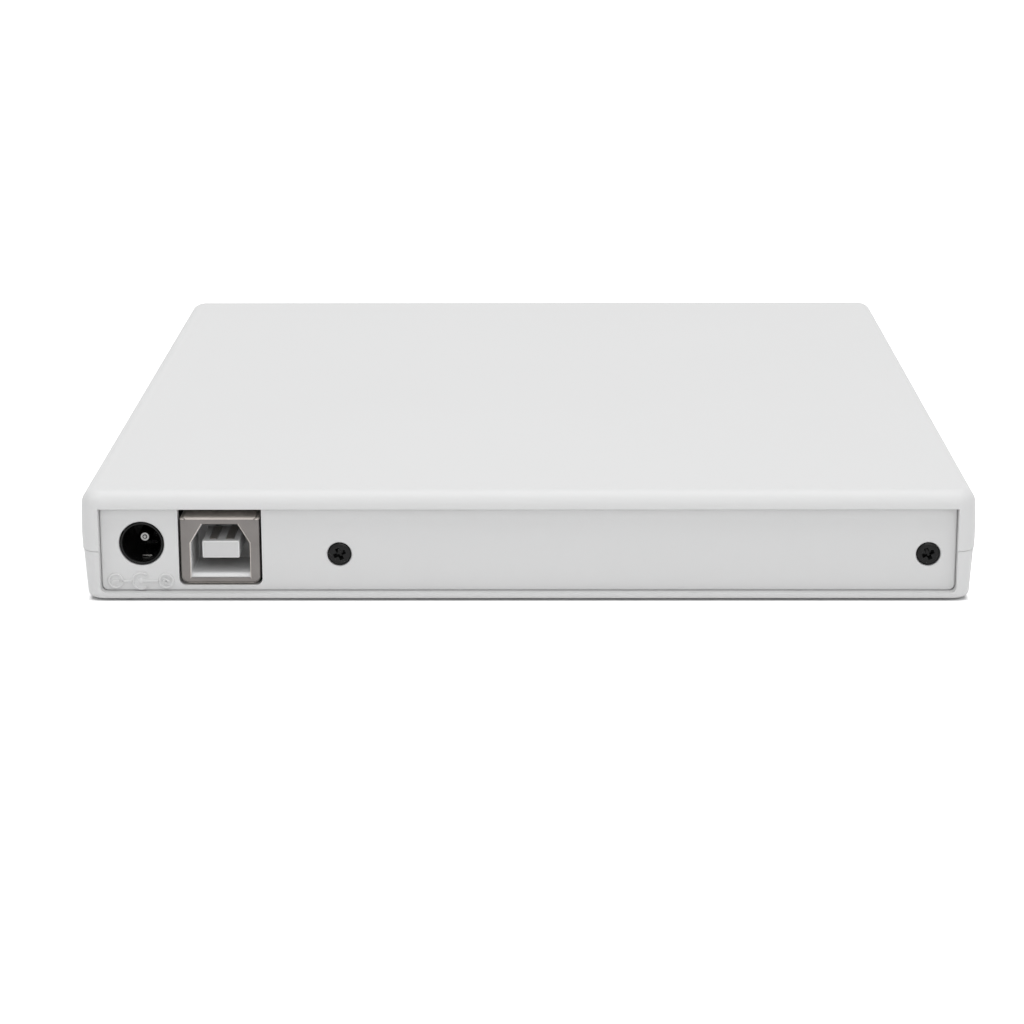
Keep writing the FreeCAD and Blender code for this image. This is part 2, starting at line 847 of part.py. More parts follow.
def make_top_shell():
    """Upper half of the case: roof and crowned sides, open to the front, with the rear wall's top."""
    body = new_body("top_shell")
    section = outline(
        body,
        "top_section",
        "XZ_Plane",
        [
            (minus("part_half"), "parting"),
            ("part_half", "parting"),
            ("top_half", "case_top"),
            (minus("top_half"), "case_top"),
        ],
        minus("case_rear"),
        crowns=(1, 3),
    )
    extrude(body, "top_solid", section, "case_deep")
    dress(body, "top_corners", "corner_round", lambda e: runs(e, "z"))
    dress(body, "top_edges", "top_round", lambda e: at(e, "z", "case_top"))
    across = around("0", "cavity_half")
    low = "parting - lip_high - lip_gap"
    room = ("case_front - cut_past", "panel_back")
    block(body, "top_room", across, room, (low, "roof_under"), cut=True)
    across = around("0", "opening_half")
    mouth = ("panel_back - cut_past", "case_rear + cut_past")
    block(body, "top_mouth", across, mouth, (low, "opening_top"), cut=True)
    run = ("case_front + lip_end - lip_gap", "case_rear - lip_end + lip_gap")
    rise = (low, "parting + lip_high + lip_gap")
    across = around("0", "cavity_half + lip_thick + lip_gap")
    block(body, "lip_rebate", across, run, rise, cut=True)
    dress(
        body,
        "mouth_edge",
        "lip_gap",
        lambda e: runs(e, "x") and at(e, "z", "opening_top") and at(e, "y", "case_rear"),
    )
    dress(
        body,
        "parting_edges",
        "parting_chamfer",
        lambda e: runs(e, "y") and at(e, "z", "parting") and at(e, "x", "part_half", "-part_half"),
        kind="Chamfer",
    )


def make_bottom_shell():
    """Lower half of the case: floor, sides with a locating lip, screw bosses, pegs and rest pads."""
    body = new_body("bottom_shell")
    wide = "part_half - parting_step"
    base = "case_half - base_inset"
    section = outline(
        body,
        "base_section",
        "XZ_Plane",
        [(minus(base), "foot_proud"), (base, "foot_proud"), (wide, "parting"), (minus(wide), "parting")],
        minus("case_rear"),
    )
    extrude(body, "base_solid", section, "case_deep")
    dress(body, "base_corners", "corner_round", lambda e: runs(e, "z"))
    dress(body, "base_edges", "base_round", lambda e: at(e, "z", "foot_proud"))
    run = ("case_front + lip_end", "case_rear - lip_end")
    across = around("0", "cavity_half + lip_thick")
    block(body, "lip", across, run, ("parting - cut_past", "parting + lip_high"))
    high = "parting + lip_high + cut_past"
    across = around("0", "cavity_half")
    room = ("case_front - cut_past", "panel_back")
    block(body, "base_room", across, room, ("floor_top", high), cut=True)
    across = around("0", "opening_half")
    mouth = ("panel_back - cut_past", "case_rear + cut_past")
    block(body, "base_mouth", across, mouth, ("opening_low", high), cut=True)
    dress(
        body,
        "mouth_corners",
        "opening_round",
        lambda e: runs(e, "y") and at(e, "z", "opening_low") and at(e, "x", "opening_half", "-opening_half"),
    )
    deep = ("panel_back - boss_deep", "panel_back")
    for side, x, _ in panel_screw_spots():
        rise = ("floor_top - root_bite", "boss_top")
        block(body, f"boss_{side}", around(x, "boss_wide / 2"), deep, rise)
    spots = [(x, z) for _, x, z in panel_screw_spots()]
    hole = ("panel_back - panel_shank_long", "panel_back + cut_past")
    posts(body, "boss_pilots", "y", spots, hole, "panel_shank_radius", cut=True)
    posts(body, "pegs", "z", peg_spots(), ("floor_top - root_bite", "board_top"), "peg_radius")
    top = ("board_top", "board_top + peg_head_high")
    posts(body, "peg_heads", "z", peg_spots(), top, "peg_head_radius")
    pads = mount_spots() + both_sides("mount_x", "drive_front + rest_pad_inset")
    posts(body, "rest_pads", "z", pads, ("floor_top - root_bite", "drive_base"), "rest_pad_radius")
    head = ("0", "foot_proud + mount_head_high + mount_hole_gap")
    posts(body, "head_rooms", "z", mount_spots(), head, "mount_head_radius + mount_hole_gap", cut=True)
    shank = ("0", "drive_base + cut_past")
    posts(body, "shank_rooms", "z", mount_spots(), shank, "mount_shank_radius + mount_hole_gap", cut=True)
    sunk = ("0", "foot_proud + foot_sunk")
    posts(body, "foot_seats", "z", foot_spots(), sunk, "foot_radius + foot_gap", cut=True)


def make_feet():
    """Four round rubber feet, each let into its seat in the floor."""
    feet = []
    for i, spot in enumerate(foot_spots()):
        body = new_body(f"foot_{i}", node=False)
        rod(body, f"foot_disc_{i}", "z", spot, ("0", "foot_proud + foot_sunk"), "foot_radius")
        dress(body, f"foot_edge_{i}", "foot_gap", lambda e: at(e, "z", "0"))
        feet.append(body)
    group("rubber_feet", feet)


def make_rear_panel():
    """Inset panel at the rear: notch for the data socket, hole for the power plug, two counterbores."""
    body = new_body("rear_panel")
    across = around("0", "panel_half")
    block(body, "panel_plate", across, ("panel_back", "panel_face"), ("panel_low", "panel_top"))
    dress(body, "panel_corners", "panel_round", lambda e: runs(e, "y") and at(e, "z", "panel_low"))
    dress(body, "panel_edges", "panel_edge", lambda e: at(e, "y", "panel_face"))
    through = ("panel_back - cut_past", "panel_face + cut_past")
    notch = around("usb_x", "usb_wide / 2 + usb_notch_gap")
    notch_low = "board_top - usb_notch_gap"
    block(body, "usb_notch", notch, through, (notch_low, "panel_top + cut_past"), cut=True)
    dress(body, "notch_corners", "usb_corner", lambda e: runs(e, "y") and at(e, "z", notch_low))
    rod(body, "power_hole", "y", ("dc_x", "dc_z"), through, "dc_hole_radius", cut=True)
    spots = [(x, z) for _, x, z in panel_screw_spots()]
    posts(body, "screw_holes", "y", spots, through, "panel_shank_radius + mount_hole_gap", cut=True)
    sunk = ("counterbore_floor", "panel_face + cut_past")
    posts(body, "counterbores", "y", spots, sunk, "counterbore_radius", cut=True)
    rims = (value("counterbore_radius"), value("dc_hole_radius"))
    dress(
        body,
        "hole_edges",
        "hole_chamfer",
        lambda e: len(e.Vertexes) == 1
        and at(e, "y", "panel_face")
        and any(abs(e.Curve.Radius - rim) < NEAR for rim in rims),
        kind="Chamfer",
    )
    make_polarity_mark(body)


def make_polarity_mark(body):
    """Raised lines of the polarity sign: minus ring, cup with the centre dot, plus ring."""
    minus_x = "mark_x + mark_pitch"
    plus_x = "mark_x - mark_pitch"
    half = "mark_line / 2"
    circles = [("mark_x", "mark_z", "mark_dot")]
    for x, radius in ((minus_x, "mark_ring"), (plus_x, "mark_ring"), ("mark_x", "mark_cup")):
        circles.append((x, "mark_z", f"{radius} + {half}"))
        circles.append((x, "mark_z", f"{radius} - {half}"))
    lines = rings(body, "mark_rings", "XZ_Plane", circles, minus("panel_face - mark_line"))
    extrude(body, "mark_relief", lines, "mark_line + mark_proud", back=True)
    gap = ("mark_x - mark_cup - mark_line", "mark_x - mark_dot - mark_line")
    above = ("panel_face", "panel_face + cut_past")
    block(body, "cup_gap", gap, above, around("mark_z", "cup_mouth"), cut=True)
    proud = ("panel_face - mark_line", "panel_face + mark_proud")
    flat = around("mark_z", half)
    bars = (
        ("mark_lead_minus", ("mark_x + mark_cup", "mark_x + mark_pitch - mark_ring"), flat),
        ("mark_lead_plus", ("mark_x - mark_pitch + mark_ring", "mark_x"), flat),
        ("sign_minus", around(minus_x, "mark_sign"), flat),
        ("sign_plus_flat", around(plus_x, "mark_sign"), flat),
        ("sign_plus_tall", around(plus_x, half), around("mark_z", "mark_sign")),
    )
    for name, across, high in bars:
        block(body, name, across, proud, high)


def make_panel_screws():
    """Two black screws that hold the rear panel to the bosses of the lower shell."""
    y = "counterbore_floor + panel_head_high"
    long = "panel_shank_long + counterbore_floor - panel_back - screw_tip_gap"
    sizes = ("panel_head_radius", "panel_head_high", "panel_shank_radius", long)
    members = []
    for side, x, z in panel_screw_spots():
        members.append(screw(f"panel_screw_{side}_body", (x, y, z), FACE_REAR, *sizes))
    group("rear_panel_screws", members)


def make_interface_board():
    """Interface board behind the rear panel, notched round a boss and held on two pegs."""
    body = new_body("interface_board")
    across = (minus("board_left"), "board_right")
    high = ("floor_top", "board_top")
    block(body, "board_plate", across, ("board_front", "board_rear"), high)
    deep = ("panel_back - boss_deep - board_notch_gap", "board_rear + cut_past")
    notch = around("panel_screw_right", "boss_wide / 2 + board_notch_gap")
    open_high = ("floor_top - cut_past", "board_top + cut_past")
    block(body, "board_notch", notch, deep, open_high, cut=True)
    posts(body, "peg_holes", "z", peg_spots(), open_high, "peg_radius + peg_gap", cut=True)


def make_board_parts():
    """Bridge chip, crystal, choke and capacitors soldered on the interface board."""
    middle = "(board_front + board_rear) / 2"
    front = "board_front + part_edge"
    small = "small_part"
    parts = [("bridge_chip", "chip_x", middle, "chip_wide", "chip_high")]
    for i in range(3):
        x = f"chip_x - chip_wide / 2 - small_part_pitch * {i + 1}"
        parts.append((f"capacitor_{i}", x, front, small, "small_part_high"))
    parts.append(("crystal", "chip_x + chip_wide", front, small, "small_part_high"))
    choke_x = minus("chip_x + small_part * 2")
    parts.append(("choke", choke_x, "board_rear - part_edge", "small_part * 2", "small_part_high * 2"))
    group("board_parts", [soldered(*part, "board_top") for part in parts])


def soldered(name, x, y, wide, tall, level):
    """A square component standing on a board."""
    body = new_body(name, node=False)
    half = f"{wide} / 2"
    block(body, f"{name}_case", around(x, half), around(y, half), (level, plus(level, tall)))
    dress(body, f"{name}_edges", "part_round", lambda e: runs(e, "z"))
    return body


def make_usb_socket():
    """Square data socket: folded metal shell with its D-shaped mouth."""
    body = new_body("usb_socket_shell")
    back = "panel_face - usb_long"
    top = "board_top + usb_high"
    block(body, "usb_can", around("usb_x", "usb_wide / 2"), (back, "panel_face"), ("board_top", top))
    dress(body, "usb_can_edges", "usb_corner", lambda e: runs(e, "y") and at(e, "z", "board_top"))
    dress(body, "usb_can_bends", "usb_sheet", lambda e: runs(e, "y") and at(e, "z", top))
    dress(body, "usb_can_fold", "usb_fold", lambda e: runs(e, "x") and at(e, "z", top) and at(e, "y", "panel_face"))
    across, high = usb_room()
    inside = (f"{back} - cut_past", "panel_face - usb_sheet")
    block(body, "usb_can_room", across, inside, high, cut=True)
    points = mouth_outline("usb_mouth_wide", "usb_mouth_high")
    mouth = outline(body, "usb_mouth", "XZ_Plane", points, minus("panel_face + cut_past"))
    extrude(body, "usb_mouth_cut", mouth, "cut_past + usb_sheet * 2", cut=True, back=True)
    dress(
        body,
        "usb_mouth_edge",
        "usb_sheet / 2",
        lambda e: at(e, "y", "panel_face")
        and within(e, "x", "usb_x", "usb_mouth_wide / 2")
        and within(e, "z", "usb_mouth_z", "usb_mouth_high / 2"),
    )


def usb_room():
    """X and Z of the room inside the folded shell."""
    across = around("usb_x", "usb_wide / 2 - usb_sheet")
    return across, ("board_top + usb_sheet", "board_top + usb_high - usb_sheet")


def mouth_outline(wide, high):
    """The D shape of the socket's mouth: a square with its two upper corners cut off."""
    low = f"usb_mouth_z - {high} / 2"
    top = f"usb_mouth_z + {high} / 2"
    left, right = around("usb_x", f"{wide} / 2")
    return [
        (left, low),
        (right, low),
        (right, f"{top} - usb_mouth_chamfer_high"),
        (f"{right} - usb_mouth_chamfer", top),
        (f"{left} + usb_mouth_chamfer", top),
        (left, f"{top} - usb_mouth_chamfer_high"),
    ]


def make_usb_core():
    """Moulded insulator of the data socket with its tongue, and the four contacts in its grooves."""
    core = new_body("usb_socket_insulator")
    front = "panel_face - usb_sheet"
    across, high = usb_room()
    block(core, "usb_core", across, ("panel_face - usb_long + usb_core_back", front), high)
    points = mouth_outline("usb_cavity_wide", "usb_cavity_high")
    cavity = outline(core, "usb_cavity", "XZ_Plane", points, minus(f"{front} + cut_past"))
    extrude(core, "usb_cavity_cut", cavity, "cut_past + usb_cavity_deep", cut=True, back=True)
    floor = f"{front} - usb_cavity_deep"
    tongue_z = "usb_mouth_z - usb_tongue_drop"
    tip = "panel_face - usb_tongue_recess"
    tongue_x = around("usb_x", "usb_tongue_wide / 2")
    tongue_high = around(tongue_z, "usb_tongue_high / 2")
    block(core, "usb_tongue", tongue_x, (f"{floor} - root_bite", tip), tongue_high)
    dress(core, "usb_tongue_edges", "contact_thick / 2", lambda e: at(e, "y", tip))
    run = (floor, f"{tip} - contact_back")
    groove = (floor, f"{tip} - contact_back + peg_gap")
    members = []
    for word, level in zip(("low", "top"), tongue_high):
        for side, sign in (("right", "+"), ("left", "-")):
            x = f"usb_x {sign} contact_pitch / 2"
            room = around(x, "contact_wide / 2 + peg_gap / 2")
            sunk = around(level, "contact_thick / 2")
            block(core, f"groove_{word}_{side}", room, groove, sunk, cut=True)
            strip = new_body(f"usb_contact_{word}_{side}", node=False)
            thick = around(level, "contact_thick / 4")
            block(strip, f"usb_strip_{word}_{side}", around(x, "contact_wide / 2"), run, thick)
            members.append(strip)
    group("usb_contacts", members)


def make_power_socket():
    """Round power socket: moulded housing with a plug bore, its centre pin and its leaf contact."""
    housing = new_body("dc_jack_housing")
    top = "dc_z + dc_above"
    deep = ("panel_back - dc_long", "panel_back")
    block(housing, "dc_case", around("dc_x", "dc_wide / 2"), deep, ("board_top", top))
    dress(housing, "dc_case_edges", "dc_case_round", lambda e: runs(e, "y") and at(e, "z", top))
    centre = ("dc_x", "dc_z")
    front = "panel_face - dc_collar_back"
    rod(housing, "dc_collar", "y", centre, ("panel_back - root_bite", front), "dc_collar_radius")
    floor = "panel_back - dc_bore_deep"
    past = "panel_face + cut_past"
    rod(housing, "dc_bore", "y", centre, (floor, past), "dc_bore_radius", cut=True)
    funnel = (f"{front} - dc_collar_deep", past)
    rod(housing, "dc_funnel", "y", centre, funnel, "dc_collar_radius - dc_collar_wall", cut=True)
    leaf_x = "dc_x - dc_leaf_side"
    leaf_low = "dc_z - dc_bore_radius - dc_leaf_gap"
    leaf_end = "panel_back - dc_leaf_start"
    slot_x = around(leaf_x, "dc_leaf_wide / 2 + peg_gap")
    slot_z = (f"{leaf_low} - peg_gap", "dc_z")
    block(housing, "leaf_slot", slot_x, (floor, f"{leaf_end} + peg_gap"), slot_z, cut=True)
    pin = new_body("dc_pin", node=False)
    tip = "panel_face - dc_pin_back"
    rod(pin, "dc_pin_rod", "y", centre, (floor, tip), "dc_pin_radius")
    dress(pin, "dc_pin_tip", "dc_pin_round", lambda e: at(e, "y", tip))
    leaf = new_body("dc_leaf", node=False)
    thick = (leaf_low, f"{leaf_low} + dc_leaf_thick")
    block(leaf, "dc_leaf_strip", around(leaf_x, "dc_leaf_wide / 2"), (floor, leaf_end), thick)
    group("dc_jack_contacts", [pin, leaf])


def make_receptacle():
    """Receptacle on the interface board that the drive's rear plug slides on to."""
    body = new_body("drive_receptacle")
    x = minus("plug_x")
    front = "drive_rear + plug_gap"
    top = "drive_board_top + plug_high"
    deep = (front, f"{front} + receptacle_deep")
    block(body, "receptacle_case", around(x, "plug_wide / 2"), deep, ("board_top", top))
    inset = "(plug_wall + plug_gap)"
    nose = ("drive_rear - receptacle_nose", f"{front} + root_bite")
    high = (f"drive_board_top + {inset}", f"{top} - {inset}")
    block(body, "receptacle_nose_block", around(x, f"plug_wide / 2 - {inset}"), nose, high)


def make_drive_plug():
    """Plug at the drive's rear, open to the receptacle."""
    body = new_body("drive_plug")
    x = minus("plug_x")
    low = "drive_board_top"
    top = f"{low} + plug_high"
    block(body, "plug_case", around(x, "plug_wide / 2"), ("drive_rear - plug_deep", "drive_rear"), (low, top))
    room_x = around(x, "plug_wide / 2 - plug_wall")
    room_y = ("drive_rear - plug_cavity", "drive_rear + cut_past")
    block(body, "plug_room", room_x, room_y, (f"{low} + plug_wall", f"{top} - plug_wall"), cut=True)


def make_drive_board():
    """The drive's rear board, with an arm to the right that holds the socket of the flat lead."""
    body = new_body("drive_board")
    high = ("chassis_floor", "drive_board_top")
    deep = ("drive_board_front", "drive_board_rear")
    left, right = minus("drive_board_left"), minus("drive_board_right")
    block(body, "drive_board_plate", (left, right), deep, high)
    strip = ("drive_board_rear - drive_board_strip", "drive_board_rear")
    block(body, "drive_board_arm", (f"{right} - root_bite", "drive_board_reach"), strip, high)
    socket_x = ("ribbon_left - socket_edge", "ribbon_right + socket_edge")
    socket_y = (f"{strip[0]} + socket_back", f"{strip[1]} - socket_back")
    socket_z = ("drive_board_top - root_bite", "drive_board_top + socket_high")
    block(body, "ribbon_socket", socket_x, socket_y, socket_z)


def make_chassis():
    """Pressed steel pan of the drive with ears for the cover, bosses for its screws and the lock post."""
    body = new_body("drive_chassis")
    across = around("0", "chassis_half")
    deep = ("drive_front", "drive_rear")
    block(body, "pan_solid", across, deep, ("drive_base", "cover_under"))
    room = ("drive_front - cut_past", "drive_rear - sheet_thick")
    height = ("chassis_floor", "cover_under + cut_past")
    block(body, "pan_room", around("0", "chassis_in"), room, height, cut=True)
    slot = around(minus("plug_x"), "plug_wide / 2 + slot_gap")
    high = ("chassis_floor", "drive_board_top + plug_high + slot_gap")
    block(body, "plug_slot", slot, ("drive_rear - cut_past", "drive_rear + cut_past"), high, cut=True)
    rise = ("chassis_floor - root_bite", "chassis_floor + mount_boss_high")
    posts(body, "mount_bosses", "z", mount_spots(), rise, "mount_boss_radius")
    hole = ("drive_base - cut_past", "chassis_floor + mount_boss_high + cut_past")
    posts(body, "mount_threads", "z", mount_spots(), hole, "mount_shank_radius", cut=True)
    for i, (x, y) in enumerate(cover_spots()):
        edge = around(x, "ear_wide / 2 + root_bite")
        block(body, f"ear_{i}", edge, around(y, "ear_long / 2"), ("cover_under - sheet_thick", "cover_under"))
    thread = ("cover_under - cut_past", "cover_under + cut_past")
    posts(body, "ear_threads", "z", cover_spots(), thread, "cover_screw_radius", cut=True)
    post = ("chassis_floor - root_bite", "chassis_floor + lock_post_high")
    rod(body, "lock_post", "z", ("lock_post_x", "post_y"), post, "lock_post_radius")


def make_drive_cover():
    """Pressed steel cover of the drive, its flanges down outside the pan, and its four screws."""
    body = new_body("drive_cover")
    deep = ("drive_front", "drive_rear")
    low = "drive_top - flange_high"
    block(body, "cover_solid", around("0", "drive_wide / 2"), deep, (low, "drive_top"))
    room = ("drive_front - cut_past", "drive_rear + cut_past")
    height = (f"{low} - cut_past", "cover_under")
    block(body, "cover_room", around("0", "chassis_half"), room, height, cut=True)
    hole = ("cover_under - cut_past", "drive_top + cut_past")
    posts(body, "cover_holes", "z", cover_spots(), hole, "cover_screw_radius + peg_gap", cut=True)
    members = []
    for i, (x, y) in enumerate(cover_spots()):
        spot = (x, y, "drive_top + cover_head_high")
        sizes = ("cover_head_radius", "cover_head_high", "cover_screw_radius", "cover_screw_long")
        members.append(screw(f"cover_screw_{i}", spot, FACE_UP, *sizes))
    group("cover_screws", members)


def make_mount_screws():
    """Two flat-headed screws up through the floor into the drive's bosses."""
    long = "chassis_floor + mount_boss_high - foot_proud - mount_head_high - screw_tip_gap"
    sizes = ("mount_head_radius", "mount_head_high", "mount_shank_radius", long)
    members = []
    for i, (x, y) in enumerate(mount_spots()):
        members.append(screw(f"mount_screw_{i}", (x, y, "foot_proud"), FACE_DOWN, *sizes, flush=True))
    group("drive_mount_screws", members)


def make_rails():
    """Two moulded guides on the pan's walls and the two steel rails that slide in them."""
    members = []
    deep = ("drive_front + guide_front", "drive_rear - guide_rear")
    long = ("drive_front - cut_past", "drive_rear + cut_past")
    start = "drive_front + rail_front"
    groove_high = around("rail_z", "groove_half")
    for side, sign in BOTH_SIDES:
        guide = new_body(f"guide_{side}", node=False)
        bar = sided(sign, "guide_in", "chassis_in")
        block(guide, f"guide_bar_{side}", bar, deep, ("chassis_floor", "chassis_floor + guide_high"))
        groove = sided(sign, "guide_in - cut_past", "chassis_in - guide_back")
        block(guide, f"guide_groove_{side}", groove, long, groove_high, cut=True)
        members.append(guide)
        rail = new_body(f"{side}_slide_rail")
        across = sided(sign, "rail_in", "rail_out")
        high = around("rail_z", "rail_high / 2")
        block(rail, f"rail_bar_{side}", across, (start, f"{start} + rail_long"), high)
        dress(rail, f"rail_edges_{side}", "rail_round", lambda e: runs(e, "y"))
    group("rail_guides", members)


def sided(sign, low, high):
    """A pair of expressions on the right side, or its mirror on the left."""
    return (low, high) if not sign else (minus(high), minus(low))


def clipped(back, side, end, corner):
    """An outline along and across the pickup's path, its two far corners cut off."""
    shoulder = f"{end} - {corner}"
    narrow = f"{side} - {corner}"
    return [
        (minus(back), minus(side)),
        (shoulder, minus(side)),
        (end, minus(narrow)),
        (end, narrow),
        (shoulder, side),
        (minus(back), side),
    ]


def ears():
    """The three spots, along and across the pickup's path, where the frame hangs on its grommets."""
    return (
        ("back", minus("ear_back"), "0"),
        ("left", "ear_along", minus("ear_side")),
        ("right", "ear_along", "ear_side"),
    )


def turned_place(u, v):
    """The tray's own X and Y of a spot given along and across the pickup's path."""
    turn = "traverse_angle * 1deg"
    x = f"({u}) * cos({turn}) - ({v}) * sin({turn})"
    y = f"disc_y + ({u}) * sin({turn}) + ({v}) * cos({turn})"
    return x, y


def board_spots():
    """The three spots where the tray's board is screwed to the deck."""
    left = "tray_board_left + tray_board_inset"
    right = "tray_board_right - tray_board_inset"
    front = "tray_board_front + tray_board_inset"
    return ((left, front), (right, front), (right, "tray_board_rear - tray_board_inset"))


def plate_spots():
    """The three spots where the lower plate is screwed to the tray's skirts."""
    front = "bezel_back + front_skirt / 2"
    side = minus("tray_half - skirt_wide + tray_shank_radius + skirt_edge")
    near_left = minus("tray_half - plate_screw_inset")
    return ((near_left, front), ("plate_right - plate_screw_edge", front), (side, "disc_y"))


def make_tray():
    """Moulded disc tray: deck with its disc recess, traverse window, skirts with rail grooves, bosses."""
    body = new_body("tray")
    front = "bezel_back"
    across = around("0", "tray_half")
    root = "deck_under + root_bite"
    block(body, "tray_deck", across, (front, "tray_rear"), ("deck_under", "tray_top"))
    block(body, "tray_front_skirt", across, (front, f"{front} + front_skirt"), ("tray_low", root))
    long = (f"{front} - cut_past", "tray_rear + cut_past")
    groove_high = around("rail_z", "groove_half")
    for side, sign in BOTH_SIDES:
        edge = sided(sign, "tray_half - skirt_wide", "tray_half")
        block(body, f"skirt_{side}", edge, (front, "tray_rear"), ("tray_low", root))
        groove = sided(sign, "tray_groove", "tray_half + cut_past")
        block(body, f"rail_groove_{side}", groove, long, groove_high, cut=True)
    above = "tray_top + cut_past"
    centre = ("0", "disc_y")
    rod(body, "disc_recess", "z", centre, ("recess_floor", above), "recess_radius", cut=True)
    small = ("recess_floor - small_recess_deep", above)
    rod(body, "small_disc_recess", "z", centre, small, "small_recess_radius", cut=True)
    notches = both_sides("tray_half - finger_notch_radius", f"{front} + finger_notch_radius * 2")
    posts(body, "finger_notches", "z", notches, ("recess_floor", above), "finger_notch_radius", cut=True)
    hole = clipped("window_back", "window_side", "window_end", "window_corner")
    window = outline(body, "window", "XY_Plane", [turned_place(u, v) for u, v in hole], "tray_low")
    high = "roof_top + deck_gap + lens_room - tray_low"
    extrude(body, "window_cut", window, high, cut=True, back=True)
    spots = [turned_place(u, v) for _, u, v in ears()]
    low = "frame_top + grommet_flange"
    posts(body, "ear_bosses", "z", spots, (low, root), "tray_boss_radius")
    posts(body, "board_bosses", "z", board_spots(), ("tray_board_top", root), "tray_board_boss")
    pilot = (f"{low} - cut_past", "deck_under")
    posts(body, "ear_pilots", "z", spots, pilot, "tray_shank_radius", cut=True)
    pilot = ("tray_board_top - cut_past", "deck_under")
    posts(body, "board_pilots", "z", board_spots(), pilot, "tray_shank_radius", cut=True)
    pilot = ("tray_low - cut_past", "tray_low + tray_shank_long + screw_tip_gap")
    posts(body, "plate_pilots", "z", plate_spots(), pilot, "tray_shank_radius", cut=True)
    pin = ("latch_low - latch_pin_past", root)
    rod(body, "latch_pin", "z", ("latch_x", "latch_y"), pin, "latch_pin_radius")
    box_x = around("ejector_x", "ejector_box / 2")
    box_y = ("low_end - root_bite", "ejector_box_end")
    block(body, "ejector_box_block", box_x, box_y, ("deck_under - ejector_drop", root))
    bore = ("ejector_start", "ejector_box_end + cut_past")
    rod(body, "ejector_bore", "y", ("ejector_x", "ejector_z"), bore, "ejector_radius + fit_gap", cut=True)
    flange = "button_flange + button_gap"
    room_x = around("button_x", f"button_wide / 2 + {flange}")
    room_y = (f"{front} - cut_past", f"{front} + button_travel")
    room_z = around("button_z", f"button_high / 2 + {flange}")
    block(body, "flange_room", room_x, room_y, room_z, cut=True)
    holes = [
        ("button_x", "button_z", "stem_radius + button_gap"),
        ("lamp_x", "button_z", "lamp_radius"),
        ("release_x", "button_z", "release_radius"),
    ]
    circles = rings(body, "skirt_rings", "XZ_Plane", holes, minus(f"{front} + front_skirt + cut_past"))
    extrude(body, "skirt_holes", circles, "front_skirt + 2 * cut_past", cut=True, back=True)


def make_bezel():
    """Front bezel of the tray, hollow behind, with a window for the button, the lamp and the release."""
    body = new_body("front_bezel")
    across = around("0", "cavity_half - bezel_gap")
    low = "floor_top + bezel_gap"
    top = "roof_under - bezel_gap"
    block(body, "bezel_plate", across, ("bezel_front", "bezel_back"), (low, top))
    dress(body, "bezel_corners", "bezel_round", lambda e: runs(e, "y"))
    dress(body, "bezel_edges", "bezel_round / 2", lambda e: at(e, "y", "bezel_front"))
    hollow = (minus("bezel_hollow_left"), "bezel_hollow_right")
    deep = ("bezel_front + bezel_wall", "bezel_back + cut_past")
    block(body, "bezel_hollow", hollow, deep, (f"{low} + bezel_wall", f"{top} - bezel_wall"), cut=True)
    through = ("bezel_front - cut_past", "bezel_back + cut_past")
    window_x = "button_wide / 2 + button_gap"
    window_z = "button_high / 2 + button_gap"
    across, upward = around("button_x", window_x), around("button_z", window_z)
    block(body, "button_window", across, through, upward, cut=True)
    dress(
        body,
        "window_corners",
        "button_round + button_gap",
        lambda e: (
            runs(e, "y")
            and within(e, "x", "button_x", window_x)
            and within(e, "z", "button_z", window_z)
        ),
    )
    deep = ("button_back - button_flange_thick - button_gap", "bezel_back + cut_past")
    pocket_x = around("button_x", f"{window_x} + button_flange")
    pocket_z = around("button_z", f"{window_z} + button_flange")
    block(body, "flange_pocket", pocket_x, deep, pocket_z, cut=True)
    holes = [("lamp_x", "button_z", "lamp_radius"), ("release_x", "button_z", "release_radius")]
    circles = rings(body, "bezel_rings", "XZ_Plane", holes, minus("bezel_back + cut_past"))
    extrude(body, "bezel_holes", circles, "bezel_thick + 2 * cut_past", cut=True, back=True)

    pipe = new_body("lamp_light_pipe")
    long = ("bezel_front", "bezel_back + front_skirt")
    rod(pipe, "lamp_rod", "y", ("lamp_x", "button_z"), long, "lamp_radius")
    dress(pipe, "lamp_tip", "lamp_radius / 3", lambda e: at(e, "y", "bezel_front"))


def make_button():
    """Eject button with the flange that keeps it in the bezel and the stem that reaches the switch."""
    body = new_body("eject_button")
    face = "bezel_front + button_sunk"
    half_x = "button_wide / 2"
    half_z = "button_high / 2"
    rim = ("button_back - button_flange_thick", "button_back")
    block(body, "button_cap", around("button_x", half_x), (face, rim[0]), around("button_z", half_z))
    dress(body, "button_corners", "button_round", lambda e: runs(e, "y"))
    dress(body, "button_edge", "button_gap", lambda e: at(e, "y", face))
    rim_x = around("button_x", f"{half_x} + button_flange")
    block(body, "button_rim", rim_x, rim, around("button_z", f"{half_z} + button_flange"))
    switch_face = "bezel_back + front_skirt + button_travel + switch_gap * 2"
    stem = ("button_back - root_bite", f"{switch_face} - button_travel - switch_gap")
    rod(body, "button_stem", "y", ("button_x", "button_z"), stem, "stem_radius")

    switch = new_body("eject_switch")
    deep = (f"{switch_face} + switch_plunger", f"{switch_face} + switch_deep")
    high = ("deck_under - switch_drop", "deck_under")
    block(switch, "switch_case", around("button_x", "switch_wide / 2"), deep, high)
    key = (switch_face, f"{switch_face} + switch_plunger + root_bite")
    rod(switch, "switch_key", "y", ("button_x", "button_z"), key, "stem_radius")


